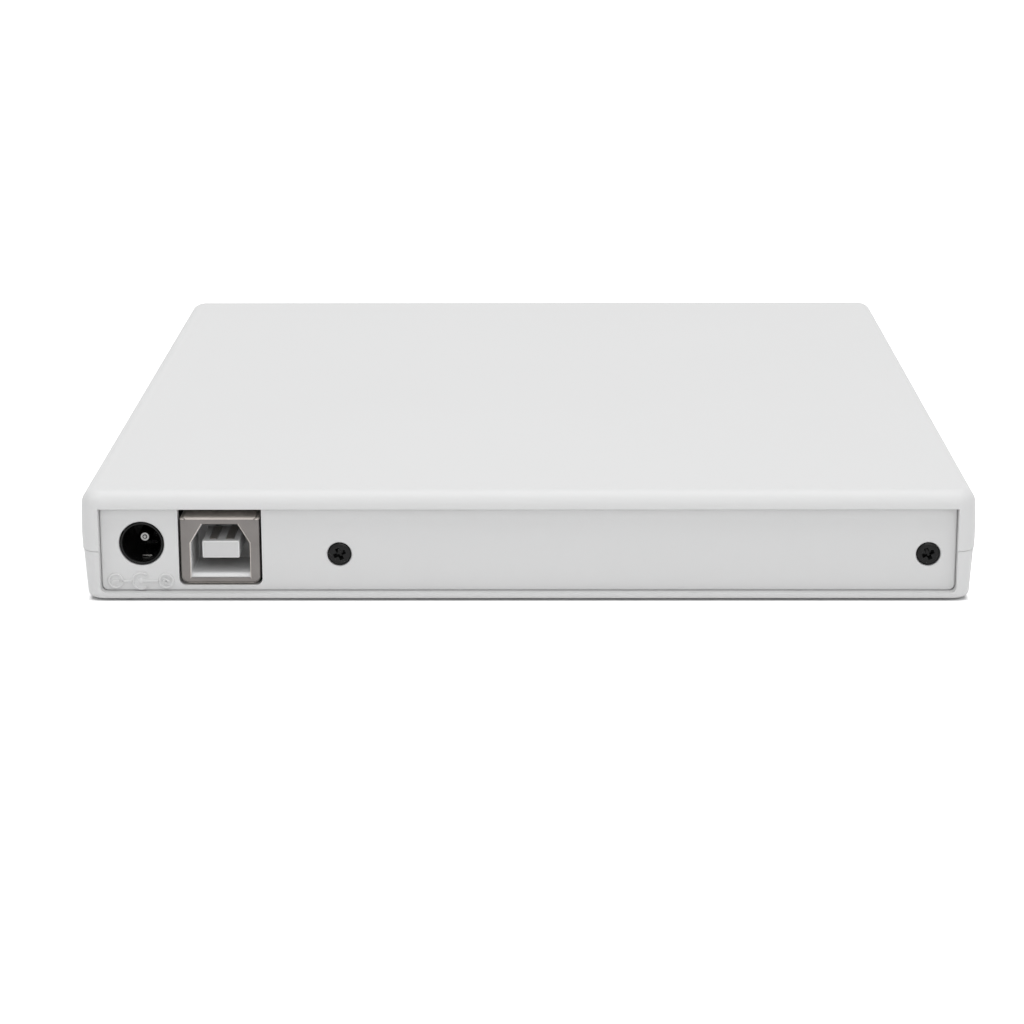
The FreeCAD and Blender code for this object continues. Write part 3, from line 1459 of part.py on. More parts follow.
def make_tray_plate():
    """Thin steel plate under the traverse, open where the frame's screws reach down."""
    body = new_body("tray_bottom_plate")
    across = (minus("tray_half - plate_edge_gap"), "plate_right")
    deep = ("bezel_back + plate_front_gap", "plate_rear")
    block(body, "plate", across, deep, ("plate_low", "tray_low"))
    open_high = ("plate_low - cut_past", "tray_low + cut_past")
    windows = [turned_place(u, v) for _, u, v in ears()]
    posts(body, "plate_windows", "z", windows, open_high, "grommet_hole", cut=True)
    for i, spot in enumerate(plate_spots()):
        sink = body.newObject("PartDesign::SubtractiveCone", f"plate_sink_{i}")
        sink.setExpression("Radius1", bind("tray_head_radius"))
        sink.setExpression("Radius2", bind("tray_shank_radius"))
        sink.setExpression("Height", bind("tray_plate_thick"))
        for axis, text in zip("xyz", (*spot, "plate_low")):
            sink.setExpression(f"Placement.Base.{axis}", bind(text))


def make_tray_screws():
    """Small screws of the tray: three flush ones in the plate, three in the grommets, three in the board."""
    members = []
    sizes = ("tray_head_radius", "tray_plate_thick", "tray_shank_radius", "tray_shank_long")
    for i, (x, y) in enumerate(plate_spots()):
        members.append(screw(f"plate_screw_{i}", (x, y, "plate_low"), FACE_DOWN, *sizes, flush=True))
    level = "frame_low - grommet_flange - grommet_head_high"
    long = "frame_thick + 2 * grommet_flange + tray_shank_long"
    sizes = ("grommet_head_radius", "grommet_head_high", "tray_shank_radius", long)
    for name, u, v in ears():
        members.append(screw(f"frame_screw_{name}", (*turned_place(u, v), level), FACE_DOWN, *sizes))
    level = "tray_board_low - tray_plate_thick"
    long = "board_thick + tray_shank_long"
    sizes = ("tray_head_radius", "tray_plate_thick", "tray_shank_radius", long)
    for i, (x, y) in enumerate(board_spots()):
        members.append(screw(f"board_screw_{i}", (x, y, level), FACE_DOWN, *sizes))
    group("tray_screws", members)


def make_traverse():
    """Pressed frame under the disc, with its ears, shaft blocks and the posts that carry the cover."""
    body = new_body("traverse_frame")
    on_traverse(body)
    points = clipped("frame_back", "frame_side", "frame_end", "frame_corner")
    plate = outline(body, "frame_outline", "XY_Plane", points, "frame_low")
    extrude(body, "frame_plate", plate, "frame_thick")
    high = ("frame_low", "frame_top")
    open_high = ("frame_low - cut_past", "frame_top + cut_past")
    spots = [(u, v) for _, u, v in ears()]
    posts(body, "frame_ears", "z", spots, high, "ear_radius")
    tab = (minus("ear_back"), minus("frame_back - root_bite"))
    block(body, "frame_tab", tab, around("0", "ear_radius"), high)
    posts(body, "ear_holes", "z", spots, open_high, "ear_hole", cut=True)
    long = ("sled_window_start", "sled_window_end")
    block(body, "sled_window", long, around("0", "sled_window_side"), open_high, cut=True)
    motor_u = ("motor_start - peg_gap", "motor_start + motor_long + peg_gap")
    motor_v = around("screw_side", "motor_radius + peg_gap")
    block(body, "motor_window", motor_u, motor_v, open_high, cut=True)
    corners = both_sides_across(minus("post_back"), "post_back_side")
    corners += both_sides_across("post_end", "post_end_side")
    posts(body, "cover_posts", "z", corners, ("frame_top - root_bite", "traverse_roof"), "post_radius")
    rise = ("frame_low", "frame_top + shaft_block_high")
    bore = ("guide_shaft_start - cut_past", "guide_shaft_end + cut_past")
    for side, sign in BOTH_SIDES:
        middle = f"{sign}(guide_shaft_side)"
        across = around(middle, "shaft_block_wide / 2")
        for end, u in (("near", "guide_shaft_start"), ("far", "guide_shaft_end - shaft_block_long")):
            block(body, f"shaft_block_{end}_{side}", (u, f"{u} + shaft_block_long"), across, rise)
        spot = (middle, "guide_shaft_z")
        rod(body, f"shaft_bore_{side}", "x", spot, bore, "guide_shaft_radius", cut=True)


def both_sides_across(u, v):
    return [(u, f"{sign}({v})") for _, sign in BOTH_SIDES]


def make_traverse_cover():
    """Thin steel cover over the traverse, open over the spindle and along the lens's path."""
    body = new_body("traverse_cover")
    on_traverse(body)
    sizes = ("window_back - deck_gap", "window_side - deck_gap", "window_end - deck_gap", "window_corner")
    plate = outline(body, "roof_outline", "XY_Plane", clipped(*sizes), "traverse_roof")
    extrude(body, "roof_plate", plate, "traverse_roof_thick")
    open_high = ("traverse_roof - cut_past", "roof_top + cut_past")
    rod(body, "rotor_window_cut", "z", ("0", "0"), open_high, "rotor_window", cut=True)
    slot = ("0", "lens_slot_end")
    block(body, "lens_slot", slot, around("0", "lens_slot_side"), open_high, cut=True)


def make_grommets():
    """Three rubber grommets in the frame's ears, each with a flange above and below."""
    low = "frame_low - grommet_flange"
    top = "frame_top + grommet_flange"
    bore = (f"{low} - cut_past", f"{top} + cut_past")
    members = []
    for name, u, v in ears():
        body = new_body(f"grommet_{name}", node=False)
        on_traverse(body)
        rod(body, f"grommet_low_{name}", "z", (u, v), (low, "frame_low"), "grommet_radius")
        rod(body, f"grommet_neck_{name}", "z", (u, v), (low, top), "ear_hole - grommet_ease")
        rod(body, f"grommet_top_{name}", "z", (u, v), ("frame_top", top), "grommet_radius")
        rod(body, f"grommet_bore_{name}", "z", (u, v), bore, "grommet_bore", cut=True)
        members.append(body)
    group("traverse_grommets", members)


def make_spindle_motor():
    """Spindle motor's fixed half: plate with its bearing tube, and the wound stator."""
    centre = ("0", "0")
    base = new_body("spindle_base")
    on_traverse(base)
    rod(base, "spindle_plate", "z", centre, ("frame_top", "spindle_top"), "spindle_plate_radius")
    tube = ("spindle_top - root_bite", "bell_ceiling - bearing_top_gap")
    rod(base, "bearing_tube", "z", centre, tube, "bearing_radius")
    bore = ("spindle_top", "bell_ceiling + cut_past")
    rod(base, "bearing_bore", "z", centre, bore, "shaft_radius + fit_gap", cut=True)

    stator = new_body("spindle_stator")
    on_traverse(stator)
    low = "spindle_top + stator_lift"
    high = (low, f"{low} + stator_thick")
    rod(stator, "stator_core", "z", centre, high, "stator_hub")
    rod(stator, "stator_seat", "z", centre, ("spindle_top", low), "bearing_radius + stator_seat_wall")
    tooth = block(stator, "stator_tooth", ("0", "stator_radius"), around("0", "tooth_wide / 2"), high)
    coil_u = ("coil_start", "coil_start + coil_long")
    coil_z = around(f"{low} + stator_thick / 2", "coil_high / 2")
    coil = block(stator, "stator_coil", coil_u, around("0", "coil_wide / 2"), coil_z)
    doc.recompute()
    fan = stator.newObject("PartDesign::PolarPattern", "stator_fan")
    fan.Originals = [tooth, coil]
    fan.Axis = (next(f for f in stator.Origin.OriginFeatures if f.Role == "Z_Axis"), [""])
    fan.Angle = 360
    fan.setExpression("Occurrences", bind("stator_teeth"))
    stator.Tip = fan
    bore = ("spindle_top - cut_past", "bell_ceiling")
    rod(stator, "stator_bore", "z", centre, bore, "bearing_radius", cut=True)


def make_spindle_rotor():
    """Turning half: ring magnet, bell with its turntable, friction ring and shaft."""
    centre = ("0", "0")
    magnet = new_body("rotor_magnet")
    on_traverse(magnet)
    ring = ("bell_low + bell_lift", "bell_low + bell_lift + magnet_high")
    rod(magnet, "magnet_ring", "z", centre, ring, "bell_in")
    bore = ("bell_low", "bell_ceiling")
    rod(magnet, "magnet_bore", "z", centre, bore, "stator_radius + magnet_gap", cut=True)

    rotor = new_body("spindle_rotor")
    on_traverse(rotor)
    table_low = "turntable_top - turntable_thick"
    turned(
        rotor,
        "rotor_bell",
        [
            ("shaft_radius", "bell_ceiling"),
            ("bell_in", "bell_ceiling"),
            ("bell_in", "bell_low"),
            ("bell_out", "bell_low"),
            ("bell_out", table_low),
            ("turntable_radius", table_low),
            ("turntable_radius", "turntable_top"),
            ("shaft_radius", "turntable_top"),
        ],
    )
    ring = new_body("friction_ring")
    on_traverse(ring)
    rod(ring, "ring_disc", "z", centre, ("turntable_top", "disc_seat"), "ring_outer")
    bore = ("turntable_top - cut_past", "disc_seat + cut_past")
    rod(ring, "ring_bore", "z", centre, bore, "ring_inner", cut=True)

    shaft = new_body("spindle_shaft")
    on_traverse(shaft)
    long = ("spindle_top + bearing_top_gap", "hub_window_top")
    rod(shaft, "shaft_rod", "z", centre, long, "shaft_radius")


def make_spindle_hub():
    """Hub that centres the disc, and the three claws that snap over the disc's edge."""
    hub = new_body("spindle_hub")
    on_traverse(hub)
    step = "hub_radius - hub_step"
    turned(
        hub,
        "hub_turned",
        [
            ("shaft_radius", "turntable_top"),
            ("hub_flange", "turntable_top"),
            ("hub_flange", "hub_wall_low"),
            ("hub_radius", "hub_wall_low"),
            ("hub_radius", "hub_wall_top"),
            (step, "hub_wall_top"),
            (step, "hub_window_top"),
            (f"{step} - hub_bevel", "hub_top"),
            ("0", "hub_top"),
            ("0", "hub_window_top"),
            ("shaft_radius", "hub_window_top"),
        ],
    )
    window_u = ("claw_start - claw_travel - claw_gap * 2", "hub_radius + cut_past")
    window_v = around("0", "claw_wide / 2 + claw_gap")
    window_z = ("hub_wall_top", "hub_window_top")
    low = "hub_wall_top + claw_gap"
    tip = "hub_radius + claw_reach"
    top = f"{low} + claw_thick"
    for name, angle in (("a", 0), ("b", 120), ("c", 240)):
        window = block(hub, f"claw_window_{name}", window_u, window_v, window_z, cut=True)
        spin(window, angle)
        claw = new_body(f"hub_claw_{name}")
        on_traverse(claw)
        wide = around("0", "claw_wide / 2")
        finger = block(claw, f"claw_finger_{name}", ("claw_start", tip), wide, (low, top))
        spin(finger, angle)
        far = FreeCAD.Rotation(FreeCAD.Vector(0, 0, 1), angle).multVec(FreeCAD.Vector(value(tip), 0, 0))
        dress(claw, f"claw_edge_{name}", "claw_round", lambda e: at(e, "z", top) and crosses(e, far))


def crosses(edge, far):
    """Whether an edge lies square across the end of an arm that reaches to far."""
    return all(abs(point.dot(far) / far.Length - far.Length) < NEAR for point in ends(edge))


def spin(feature, angle):
    """Turns a box about the body's Z axis through its origin, keeping its bound corner."""
    corner = {}
    for place in "xyz":
        corner[place] = dict(feature.ExpressionEngine)[f".Placement.Base.{place}"]
        feature.setExpression(f"Placement.Base.{place}", None)
    feature.Placement = FreeCAD.Placement(
        FreeCAD.Vector(), FreeCAD.Rotation(FreeCAD.Vector(0, 0, 1), angle)
    )
    x, y = corner["x"], corner["y"]
    feature.setExpression("Placement.Base.x", f"({x}) * cos({angle}deg) - ({y}) * sin({angle}deg)")
    feature.setExpression("Placement.Base.y", f"({x}) * sin({angle}deg) + ({y}) * cos({angle}deg)")
    feature.setExpression("Placement.Base.z", corner["z"])


def make_pickup():
    """Optical pickup that slides on the two shafts, with the actuator's magnets and the screw's follower."""
    start = "lens_start - sled_back"
    end = "lens_start + sled_front"
    body = new_body("pickup_body")
    on_traverse(body)
    block(body, "sled_block", (start, end), around("0", "sled_side"), ("sled_low", "sled_top"))
    dress(body, "sled_corners", "sled_round", lambda e: runs(e, "z") and at(e, "x", end))
    bore = (f"{start} - cut_past", f"{end} + cut_past")
    for side, sign in BOTH_SIDES:
        spot = (f"{sign}(guide_shaft_side)", "guide_shaft_z")
        rod(body, f"sled_bore_{side}", "x", spot, bore, "guide_shaft_radius + fit_gap", cut=True)
    well_u = around("lens_start", "holder_long / 2 + actuator_gap")
    well_v = around("0", "holder_wide / 2 + well_gap")
    block(body, "sled_well", well_u, well_v, ("sled_top - well_deep", "sled_top + cut_past"), cut=True)

    members = []
    near = "(holder_long / 2 + actuator_gap)"
    runs_of = (
        ("back", (f"lens_start - {near} - magnet_long", f"lens_start - {near}")),
        ("front", (f"lens_start + {near}", f"lens_start + {near} + magnet_long")),
    )
    for word, run in runs_of:
        magnet = new_body(f"actuator_magnet_{word}", node=False)
        on_traverse(magnet)
        high = ("sled_top", "sled_top + actuator_high")
        block(magnet, f"actuator_block_{word}", run, around("0", "magnet_wide / 2"), high)
        members.append(magnet)
    group("actuator_magnets", members)

    follower = new_body("screw_follower")
    on_traverse(follower)
    edge = "screw_side - screw_radius - follower_gap"
    arm_u = around("lens_start", "follower_long / 2")
    block(follower, "follower_arm", arm_u, ("sled_side", edge), around("screw_z", "follower_high / 2"))
    slot_v = (f"{edge} - follower_slot_deep", f"{edge} + cut_past")
    for i, side in enumerate(around("lens_start", "screw_pitch / 2")):
        slot_u = around(side, "follower_slot / 2")
        block(follower, f"follower_slot_{i}", slot_u, slot_v, around("screw_z", "follower_high"), cut=True)


def make_lenses():
    """Sprung lens holder of the pickup and its two objective lenses."""
    holder = new_body("lens_holder")
    on_traverse(holder)
    top = "holder_low + holder_high"
    half_u, half_v = "holder_long / 2", "holder_wide / 2"
    block(holder, "holder_block", around("lens_start", half_u), around("0", half_v), ("holder_low", top))
    dress(holder, "holder_corners", "holder_round", lambda e: runs(e, "z"))
    through = ("holder_low - cut_past", f"{top} + cut_past")
    domed = f"{top} + lens_high"
    glass = []
    kinds = (("wide", minus("lens_apart"), "lens_radius"), ("small", "lens_apart", "small_lens_radius"))
    for word, v, radius in kinds:
        spot = ("lens_start", v)
        rod(holder, f"lens_seat_{word}", "z", spot, through, radius, cut=True)
        lens = new_body(f"lens_{word}", node=False)
        on_traverse(lens)
        rod(lens, f"lens_disc_{word}", "z", spot, (f"{top} - lens_sunk", domed), radius)
        dress(lens, f"lens_dome_{word}", "lens_high", lambda e: at(e, "z", domed), kind="Chamfer")
        glass.append(lens)
    group("objective_lenses", glass)


def make_guide_shafts():
    """Two ground shafts that the pickup slides on."""
    long = ("guide_shaft_start", "guide_shaft_end")
    members = []
    for side, sign in BOTH_SIDES:
        body = new_body(f"guide_shaft_{side}", node=False)
        on_traverse(body)
        spot = (f"{sign}(guide_shaft_side)", "guide_shaft_z")
        rod(body, f"guide_rod_{side}", "x", spot, long, "guide_shaft_radius")
        members.append(body)
    group("guide_shafts", members)


def make_screw_drive():
    """Stepping motor and its bracket with the two bearings of the lead screw."""
    motor = new_body("sled_motor")
    on_traverse(motor)
    axis = ("screw_side", "screw_z")
    rod(motor, "motor_can", "x", axis, ("motor_start", "motor_end"), "motor_radius")
    dress(motor, "motor_can_edge", "motor_round", lambda e: at(e, "x", "motor_start"))

    bracket = new_body("motor_bracket")
    on_traverse(bracket)
    side = around("screw_side", "bracket_side")
    high = ("frame_top", "frame_top + bracket_high")
    far = "screw_end + journal_long / 2"
    block(bracket, "bracket_near", ("motor_end", "motor_end + bracket_thick"), side, high)
    strip = ("frame_top", "frame_top + bracket_thick")
    block(bracket, "bracket_strip", ("motor_end", f"{far} + bracket_thick"), side, strip)
    block(bracket, "bracket_far", (far, f"{far} + bracket_thick"), side, high)
    long = ("motor_end - cut_past", f"{far} + bracket_thick + cut_past")
    rod(bracket, "bracket_bores", "x", axis, long, "journal_radius + fit_gap", cut=True)


def make_lead_screw():
    """Lead screw with its helical groove and a journal at each end, lying along the pickup's path."""
    radius = value("screw_radius")
    pitch = value("screw_pitch")
    long = value("screw_end - screw_start")
    root = value("screw_radius - screw_groove")
    lip = value("screw_radius + root_bite")
    half = value("groove_wide / 2")
    path = Part.makeHelix(pitch, long - pitch, radius)
    path.translate(FreeCAD.Vector(0, 0, pitch / 2))
    corners = [(lip, -half), (lip, half), (root, half / 2), (root, -half / 2), (lip, -half)]
    notch = Part.makePolygon([FreeCAD.Vector(x, 0, pitch / 2 + z) for x, z in corners])
    groove = Part.Wire(path).makePipeShell([notch], True, True)
    bar = Part.makeCylinder(radius, long).cut(groove)
    journal = value("journal_long")
    start = FreeCAD.Vector(0, 0, -journal)
    pivots = Part.makeCylinder(value("journal_radius"), long + 2 * journal, start)
    axis = FreeCAD.Vector(value("screw_start"), value("screw_side"), value("screw_z"))
    traverse = FreeCAD.Placement(
        FreeCAD.Vector(0, value("disc_y"), 0),
        FreeCAD.Rotation(FreeCAD.Vector(0, 0, 1), value("traverse_angle")),
    )
    loose(
        "lead_screw",
        bar.fuse(pivots),
        traverse.multiply(FreeCAD.Placement(axis, TURNS["x"])),
    )


def loose(label, shape, placement):
    """A node whose shape is worked out here rather than by features."""
    item = doc.addObject("Part::Feature", label)
    item.Label = label
    item.Shape = shape
    item.Placement = placement
    nodes.append(item)


def make_tray_board():
    """Control board under the tray's rear half, with its chips and the socket of the flat lead."""
    body = new_body("tray_board")
    across = ("tray_board_left", "tray_board_right")
    deep = ("tray_board_front", "tray_board_rear")
    block(body, "tray_board_plate", across, deep, ("tray_board_low", "tray_board_top"))
    through = ("tray_board_low - cut_past", "tray_board_top + cut_past")
    posts(body, "tray_board_holes", "z", board_spots(), through, "tray_shank_radius + peg_gap", cut=True)
    members = []
    for word in ("servo_chip", "memory_chip", "driver_chip"):
        sizes = (f"{word}_x", f"{word}_y", f"{word}_wide", f"{word}_high")
        members.append(soldered(word, *sizes, "tray_board_top"))
    socket = new_body("lead_socket", node=False)
    socket_x = ("ribbon_left - socket_edge", "ribbon_right + socket_edge")
    rear = "tray_board_rear - lead_socket_edge"
    socket_y = (f"{rear} - lead_socket_long", rear)
    block(socket, "lead_socket_case", socket_x, socket_y, ("ribbon_top", "tray_board_low"))
    members.append(socket)
    group("tray_board_parts", members)


def make_latch():
    """Tray lock: hook that turns on the deck's pin and the coil that pulls it free."""
    hook = new_body("lock_hook")
    high = ("latch_low", "latch_low + latch_arm_thick")
    tooth_front = "post_y + lock_post_radius + latch_tooth_gap"
    tooth = (tooth_front, f"{tooth_front} + latch_tooth_long")
    arm = around("latch_x", "latch_arm_wide / 2")
    spot = ("latch_x", "latch_y")
    rod(hook, "hook_eye", "z", spot, high, "latch_pin_radius + latch_eye_wall")
    block(hook, "hook_arm", arm, ("latch_y", tooth[1]), high)
    block(hook, "hook_tooth", (f"{arm[0]} - latch_tooth_reach", arm[1]), tooth, high)
    bore = ("latch_low - cut_past", "deck_under")
    rod(hook, "hook_bore", "z", spot, bore, "latch_pin_radius + fit_gap", cut=True)

    coil = new_body("lock_solenoid")
    front = "low_end + magnet_back"
    across = ("magnet_x", "magnet_x + magnet_size")
    deep = (front, f"{front} + magnet_size")
    block(coil, "solenoid_case", across, deep, ("deck_under - magnet_drop", "deck_under"))
    dress(coil, "solenoid_edges", "magnet_round", lambda e: runs(e, "y"))


def make_ejector():
    """Plunger at the tray's rear that pushes the tray open a little, and the coil spring behind it."""
    body = new_body("ejector_plunger")
    tip = "drive_rear - sheet_thick - ejector_gap"
    long = ("ejector_start + plunger_back", tip)
    rod(body, "plunger_rod", "y", ("ejector_x", "ejector_z"), long, "ejector_radius")
    dress(body, "plunger_tip", "plunger_round", lambda e: at(e, "y", tip))

    wire = value("spring_wire")
    room = value("plunger_back") - 2 * wire
    pitch = room / value("spring_count")
    print("spring: gap between turns", round(pitch - wire, 3))
    path = Part.makeLongHelix(pitch, room, value("spring_radius"))
    section = Part.Wire(Part.makeCircle(
        wire / 2, FreeCAD.Vector(value("spring_radius"), 0, 0), FreeCAD.Vector(0, 1, 0)
    ))
    coil = Part.Wire(path).makePipeShell([section], True, True)
    seat = FreeCAD.Vector(value("ejector_x"), value("ejector_start") + wire, value("ejector_z"))
    loose("ejector_spring", coil, FreeCAD.Placement(seat, TURNS["y"]))


def make_ribbons():
    """Flat flexible leads in a loop: drive board to tray, and pickup to tray board."""
    lead = new_body("tray_ribbon")
    across = ("ribbon_left", "ribbon_right")
    bend = minus("ribbon_front")
    thick = "ribbon_thick"
    rear = "drive_board_rear - drive_board_strip"
    block(lead, "ribbon_fixed_run", across, (bend, rear), ("ribbon_low", f"ribbon_low + {thick}"))
    block(lead, "ribbon_loop", across, (bend, f"{bend} + {thick}"), ("ribbon_low", "ribbon_top"))
    end = "tray_board_rear - lead_socket_edge"
    block(lead, "ribbon_moving_run", across, (bend, end), (f"ribbon_top - {thick}", "ribbon_top"))

    lead = new_body("pickup_ribbon")
    on_traverse(lead)
    across = (minus("pickup_ribbon_far"), minus("pickup_ribbon_near"))
    low = "tray_low + peg_gap"
    bend = "pickup_ribbon_bend"
    low_run = (minus("pickup_ribbon_end"), bend)
    block(lead, "pickup_ribbon_low_run", low_run, across, (low, f"{low} + {thick}"))
    block(lead, "pickup_ribbon_loop", (f"{bend} - {thick}", bend), across, (low, "sled_low"))
    top_run = ("lens_start", bend)
    block(lead, "pickup_ribbon_top_run", top_run, across, (f"sled_low - {thick}", "sled_low"))


make_top_shell()
make_bottom_shell()
make_feet()
make_rear_panel()
make_panel_screws()
make_interface_board()
make_board_parts()
make_usb_socket()
make_usb_core()
make_power_socket()
make_receptacle()
make_drive_plug()
make_drive_board()
make_chassis()
make_drive_cover()
make_mount_screws()
make_rails()
make_tray()
make_bezel()
make_button()
make_tray_plate()
make_tray_screws()
make_traverse()
make_traverse_cover()
make_grommets()
make_spindle_motor()
make_spindle_rotor()
make_spindle_hub()
make_pickup()
make_lenses()
make_guide_shafts()
make_screw_drive()
make_lead_screw()
make_tray_board()
make_latch()
make_ejector()
make_ribbons()
doc.recompute()

failed = [item.Label for item in doc.Objects if "Invalid" in item.State or "Error" in item.State]
if failed:
    raise RuntimeError("did not build: " + ", ".join(failed))
for item in nodes:
    if item.Shape.isNull() or not item.Shape.isValid():
        raise RuntimeError(f"{item.Label} has no valid shape")

os.makedirs("parts", exist_ok=True)
for item in nodes:
    item.Shape.exportStep(f"parts/{item.Label}.step")
    print(item.Label, len(item.Shape.Solids), round(item.Shape.Volume, 2))
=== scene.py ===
import math

import bmesh
import bpy
from mathutils import Matrix, Vector


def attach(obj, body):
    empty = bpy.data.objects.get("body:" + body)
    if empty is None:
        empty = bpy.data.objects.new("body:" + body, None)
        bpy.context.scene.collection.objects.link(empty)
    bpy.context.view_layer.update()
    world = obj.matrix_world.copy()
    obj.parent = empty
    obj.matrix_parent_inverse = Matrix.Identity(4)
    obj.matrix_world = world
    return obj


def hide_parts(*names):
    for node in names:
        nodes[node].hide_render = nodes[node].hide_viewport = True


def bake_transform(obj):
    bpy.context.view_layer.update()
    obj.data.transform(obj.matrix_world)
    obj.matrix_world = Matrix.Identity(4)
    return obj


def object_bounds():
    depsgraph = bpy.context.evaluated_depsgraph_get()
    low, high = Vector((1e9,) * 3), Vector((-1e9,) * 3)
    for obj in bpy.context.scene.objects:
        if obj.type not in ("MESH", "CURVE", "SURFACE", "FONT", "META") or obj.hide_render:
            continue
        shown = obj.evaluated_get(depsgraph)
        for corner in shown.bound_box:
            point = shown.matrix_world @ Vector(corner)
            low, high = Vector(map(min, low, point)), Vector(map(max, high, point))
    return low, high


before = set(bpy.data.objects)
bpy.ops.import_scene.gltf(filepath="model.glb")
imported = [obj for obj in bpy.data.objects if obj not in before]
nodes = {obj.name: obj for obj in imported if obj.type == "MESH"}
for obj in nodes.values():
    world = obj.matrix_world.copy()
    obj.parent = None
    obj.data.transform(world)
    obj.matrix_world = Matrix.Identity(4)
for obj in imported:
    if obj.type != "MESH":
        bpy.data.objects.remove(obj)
cad_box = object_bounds()

# The table and the studio.
# The drive stands on a plain white table before a white wall, under one broad lamp overhead and one
# behind the camera. The table's glow fades out at the drive's footprint: a painted shadow line along its
# foot.
TABLE_HALF = 6.0
TABLE_COLOUR = (0.88, 0.88, 0.88)
TABLE_GLOW = 0.55
PAINTED_SHADOW_EDGE = (-0.0013, -0.0003)
ROOM_LIGHT = 0.49
ROOM_COLOUR = (0.985, 0.99, 1.0)
WHITE = (1.0, 1.0, 1.0, 1.0)
CAMERA_PLACE = (-0.00193, 0.49358, 0.12716)
CAMERA_PITCH = 15.124
CAMERA_YAW = -0.586
CAMERA_ROLL = -0.175
CAMERA_LENS = 102.38
CAMERA_FILM = 36.0
CAMERA_REACH = (0.01, 30.0)
LAMP_AIM = (0.0, 0.0, 0.01)
LAMPS = (
    # name, place, size, watts
    ("lamp_over", (0.0, 0.10, 1.10), 1.10, 8.1),
    ("lamp_rear", (-0.25, 1.35, 0.75), 0.90, 4.7),
)

scene = bpy.context.scene
scene.view_settings.view_transform = "Standard"

camera_data = bpy.data.cameras.new("photo_camera")
camera_data.lens = CAMERA_LENS
camera_data.sensor_width = CAMERA_FILM
camera_data.clip_start, camera_data.clip_end = CAMERA_REACH
camera = bpy.data.objects.new("photo_camera", camera_data)
camera.matrix_world = (
    Matrix.Translation(CAMERA_PLACE)
    @ Matrix.Rotation(math.radians(180.0 - CAMERA_YAW), 4, "Z")
    @ Matrix.Rotation(math.radians(90.0 - CAMERA_PITCH), 4, "X")
    @ Matrix.Rotation(math.radians(CAMERA_ROLL), 4, "Z")
)
scene.collection.objects.link(camera)
scene.camera = camera

for name, place, size, watts in LAMPS:
    lamp_data = bpy.data.lights.new(name, "AREA")
    lamp_data.shape = "SQUARE"
    lamp_data.size = size
    lamp_data.energy = watts
    lamp = bpy.data.objects.new(name, lamp_data)
    aim = (Vector(LAMP_AIM) - Vector(place)).to_track_quat("-Z", "Y")
    lamp.matrix_world = Matrix.Translation(place) @ aim.to_matrix().to_4x4()
    scene.collection.objects.link(lamp)


def by_ray(tree, lighting, shown, output):
    """One shader for the rays that light the drive, another for those of the camera, mirrors and glass."""
    path = tree.nodes.new("ShaderNodeLightPath")
    seen = path.outputs["Is Camera Ray"]
    for other in ("Is Glossy Ray", "Is Transmission Ray"):
        either = tree.nodes.new("ShaderNodeMath")
        either.operation = "MAXIMUM"
        tree.links.new(seen, either.inputs[0])
        tree.links.new(path.outputs[other], either.inputs[1])
        seen = either.outputs[0]
    choose = tree.nodes.new("ShaderNodeMixShader")
    tree.links.new(seen, choose.inputs["Fac"])
    tree.links.new(lighting.outputs[0], choose.inputs[1])
    tree.links.new(shown.outputs[0], choose.inputs[2])
    tree.links.new(choose.outputs[0], output.inputs["Surface"])


world = bpy.data.worlds.new("white_room")
world.use_nodes = True
scene.world = world
tree = world.node_tree
tree.nodes.clear()
lit = tree.nodes.new("ShaderNodeBackground")
lit.inputs["Color"].default_value = (*ROOM_COLOUR, 1.0)
lit.inputs["Strength"].default_value = ROOM_LIGHT
wall = tree.nodes.new("ShaderNodeBackground")
wall.inputs["Color"].default_value = WHITE
wall.inputs["Strength"].default_value = 1.0
by_ray(tree, lit, wall, tree.nodes.new("ShaderNodeOutputWorld"))

table_shape = bmesh.new()
bmesh.ops.create_grid(table_shape, x_segments=2, y_segments=2, size=TABLE_HALF)
table_mesh = bpy.data.meshes.new("table")
table_shape.to_mesh(table_mesh)
table_shape.free()
table = bpy.data.objects.new("table", table_mesh)
scene.collection.objects.link(table)
table_paint = bpy.data.materials.new("table_white")
table_paint.use_nodes = True
tree = table_paint.node_tree
tree.nodes.clear()
matt = tree.nodes.new("ShaderNodeBsdfDiffuse")
matt.inputs["Color"].default_value = (*TABLE_COLOUR, 1.0)
glow = tree.nodes.new("ShaderNodeEmission")
glow.inputs["Color"].default_value = WHITE
place = tree.nodes.new("ShaderNodeTexCoord")
split = tree.nodes.new("ShaderNodeSeparateXYZ")
tree.links.new(place.outputs["Object"], split.inputs["Vector"])
beyond = tree.nodes.new("ShaderNodeMath")
beyond.operation = "MAXIMUM"
for way, (axis, half) in enumerate(zip("XY", cad_box[1])):
    size = tree.nodes.new("ShaderNodeMath")
    size.operation = "ABSOLUTE"
    past = tree.nodes.new("ShaderNodeMath")
    past.operation = "SUBTRACT"
    past.inputs[1].default_value = half
    tree.links.new(split.outputs[axis], size.inputs[0])
    tree.links.new(size.outputs[0], past.inputs[0])
    tree.links.new(past.outputs[0], beyond.inputs[way])
# Painted shadow: the glow fades out just inside the edge of the drive's footprint, leaving a thin dark line
# along its foot.
rise = tree.nodes.new("ShaderNodeMapRange")
rise.inputs["From Min"].default_value = PAINTED_SHADOW_EDGE[0]
rise.inputs["From Max"].default_value = PAINTED_SHADOW_EDGE[1]
rise.inputs["To Max"].default_value = TABLE_GLOW
tree.links.new(beyond.outputs[0], rise.inputs["Value"])
tree.links.new(rise.outputs["Result"], glow.inputs["Strength"])
both = tree.nodes.new("ShaderNodeAddShader")
tree.links.new(matt.outputs[0], both.inputs[0])
tree.links.new(glow.outputs[0], both.inputs[1])
by_ray(tree, matt, both, tree.nodes.new("ShaderNodeOutputMaterial"))
table_mesh.materials.append(table_paint)

